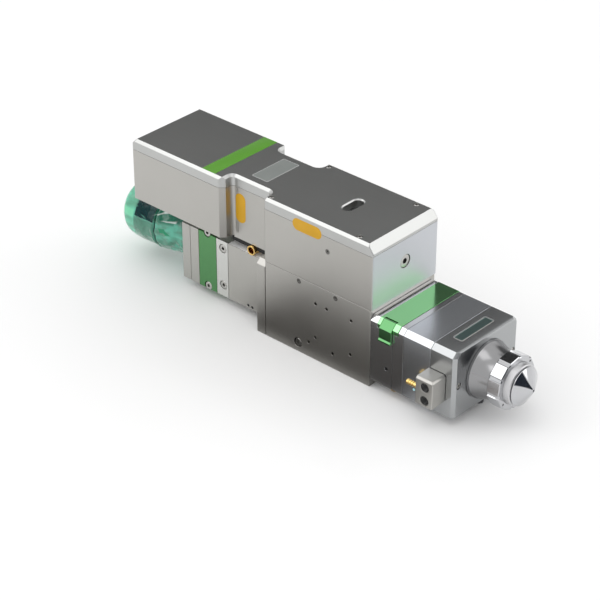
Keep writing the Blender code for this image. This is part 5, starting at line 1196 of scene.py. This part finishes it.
bpy.ops.object.camera_add(location=LOOK_AT + DISTANCE * direction_of(AZIMUTH, ELEVATION),
                          rotation=(math.pi / 2 - ELEVATION, 0, AZIMUTH))
camera = bpy.context.object
camera.data.lens = LENS
camera.data.sensor_width = 36
camera.data.clip_end = 50
bpy.context.scene.camera = camera


def facing_head(thing, azimuth, elevation, distance):
    """Stands a lamp or a card at a place round the head, turned to it."""
    place = LOOK_AT + distance * direction_of(math.radians(azimuth), math.radians(elevation))
    thing.location = place
    thing.rotation_euler = (LOOK_AT - place).to_track_quat("-Z", "Y").to_euler()
    return thing


def softbox(name, azimuth, elevation, distance, width, height, strength):
    """A soft area light that faces the head."""
    bpy.ops.object.light_add(type="AREA")
    lamp = facing_head(bpy.context.object, azimuth, elevation, distance)
    lamp.name = name
    lamp.data.shape = "RECTANGLE"
    lamp.data.size = width
    lamp.data.size_y = height
    lamp.data.energy = strength


def card(name, tone, width, height, core):
    """A card with soft edges that only reflections see. Core is the share of it that is dense."""
    bpy.ops.mesh.primitive_plane_add(size=1)
    made = bpy.context.object
    made.name = name
    made.scale = (width, height, 1)
    paint = Finish(f"{name}_paint", Roughness=0.9)
    paint.tint(paint.noise((0.001,) * 3), tone, 0.97, 1.0)
    edges = [paint.spread(abs(paint.coordinate(axis)), core / 2, 0.5, 1.0, 0.0) for axis in (0, 1)]
    paint.feed("Alpha", edges[0] * edges[1])
    made.data.materials.append(paint.material)
    made.visible_camera = False
    made.visible_diffuse = False
    made.visible_shadow = False
    return made


# Name, azimuth, elevation and distance in degrees and metres, width, height, and strength in watts
softbox("front_left_box", -48, 43, 2.2, 1.3, 0.9, 5)
softbox("back_right_box", 137, 28, 2.2, 1.4, 0.8, 4.2)
softbox("overhead_box", 40, 78, 2.4, 1.2, 1.2, 4.4)

# The cards that the tops, the front face and the lock ring reflect, and two on the floor
facing_head(card("rear_card", (0.10,) * 3, 3.4, 2.2, 0.7), 217, 26, 3.4)
facing_head(card("front_card", (0.012, 0.018, 0.03), 1.4, 0.85, 0.85), 84, 18, 1.25)
facing_head(card("ring_card", (0.03,) * 3, 0.35, 0.3, 0.8), -141.6, 49.4, 1.93)
card("ring_floor_card", (0.24, 0.20, 0.18), 0.05, 0.045, 0.8).location = (0.108, -0.126, 0.4 * MM)
card("floor_card", (0.065, 0.06, 0.055), 0.27, 0.125, 0.5).location = (0.001, -0.086, 0.4 * MM)

world = bpy.data.worlds.new("studio")
bpy.context.scene.world = world
world.use_nodes = True
sky = Shader(world.node_tree)
rays = sky.node("ShaderNodeLightPath")
seen = rays.outputs["Is Camera Ray"]
for kind in ("Is Transmission Ray", "Is Glossy Ray"):
    seen = sky.value("ShaderNodeMath", {"operation": "MAXIMUM"}, {0: seen, 1: rays.outputs[kind]})
strength = sky.spread(seen, 0.0, 1.0, 0.96, 1.0)
backdrop = world.node_tree.nodes["Background"]
world.node_tree.links.new(strength.socket, backdrop.inputs["Strength"])
backdrop.inputs["Color"].default_value = (1, 1, 1, 1)

bpy.ops.mesh.primitive_plane_add(size=12, location=(0, 0, -0.2 * MM))
floor = bpy.context.object
floor.name = "floor"
paint = Finish("white_floor", Roughness=0.9)
paint.tint(paint.noise((0.002,) * 3), (0.92,) * 3, 1.0, 1.02)
floor.data.materials.append(paint.material)

bpy.context.scene.view_settings.view_transform = "Standard"
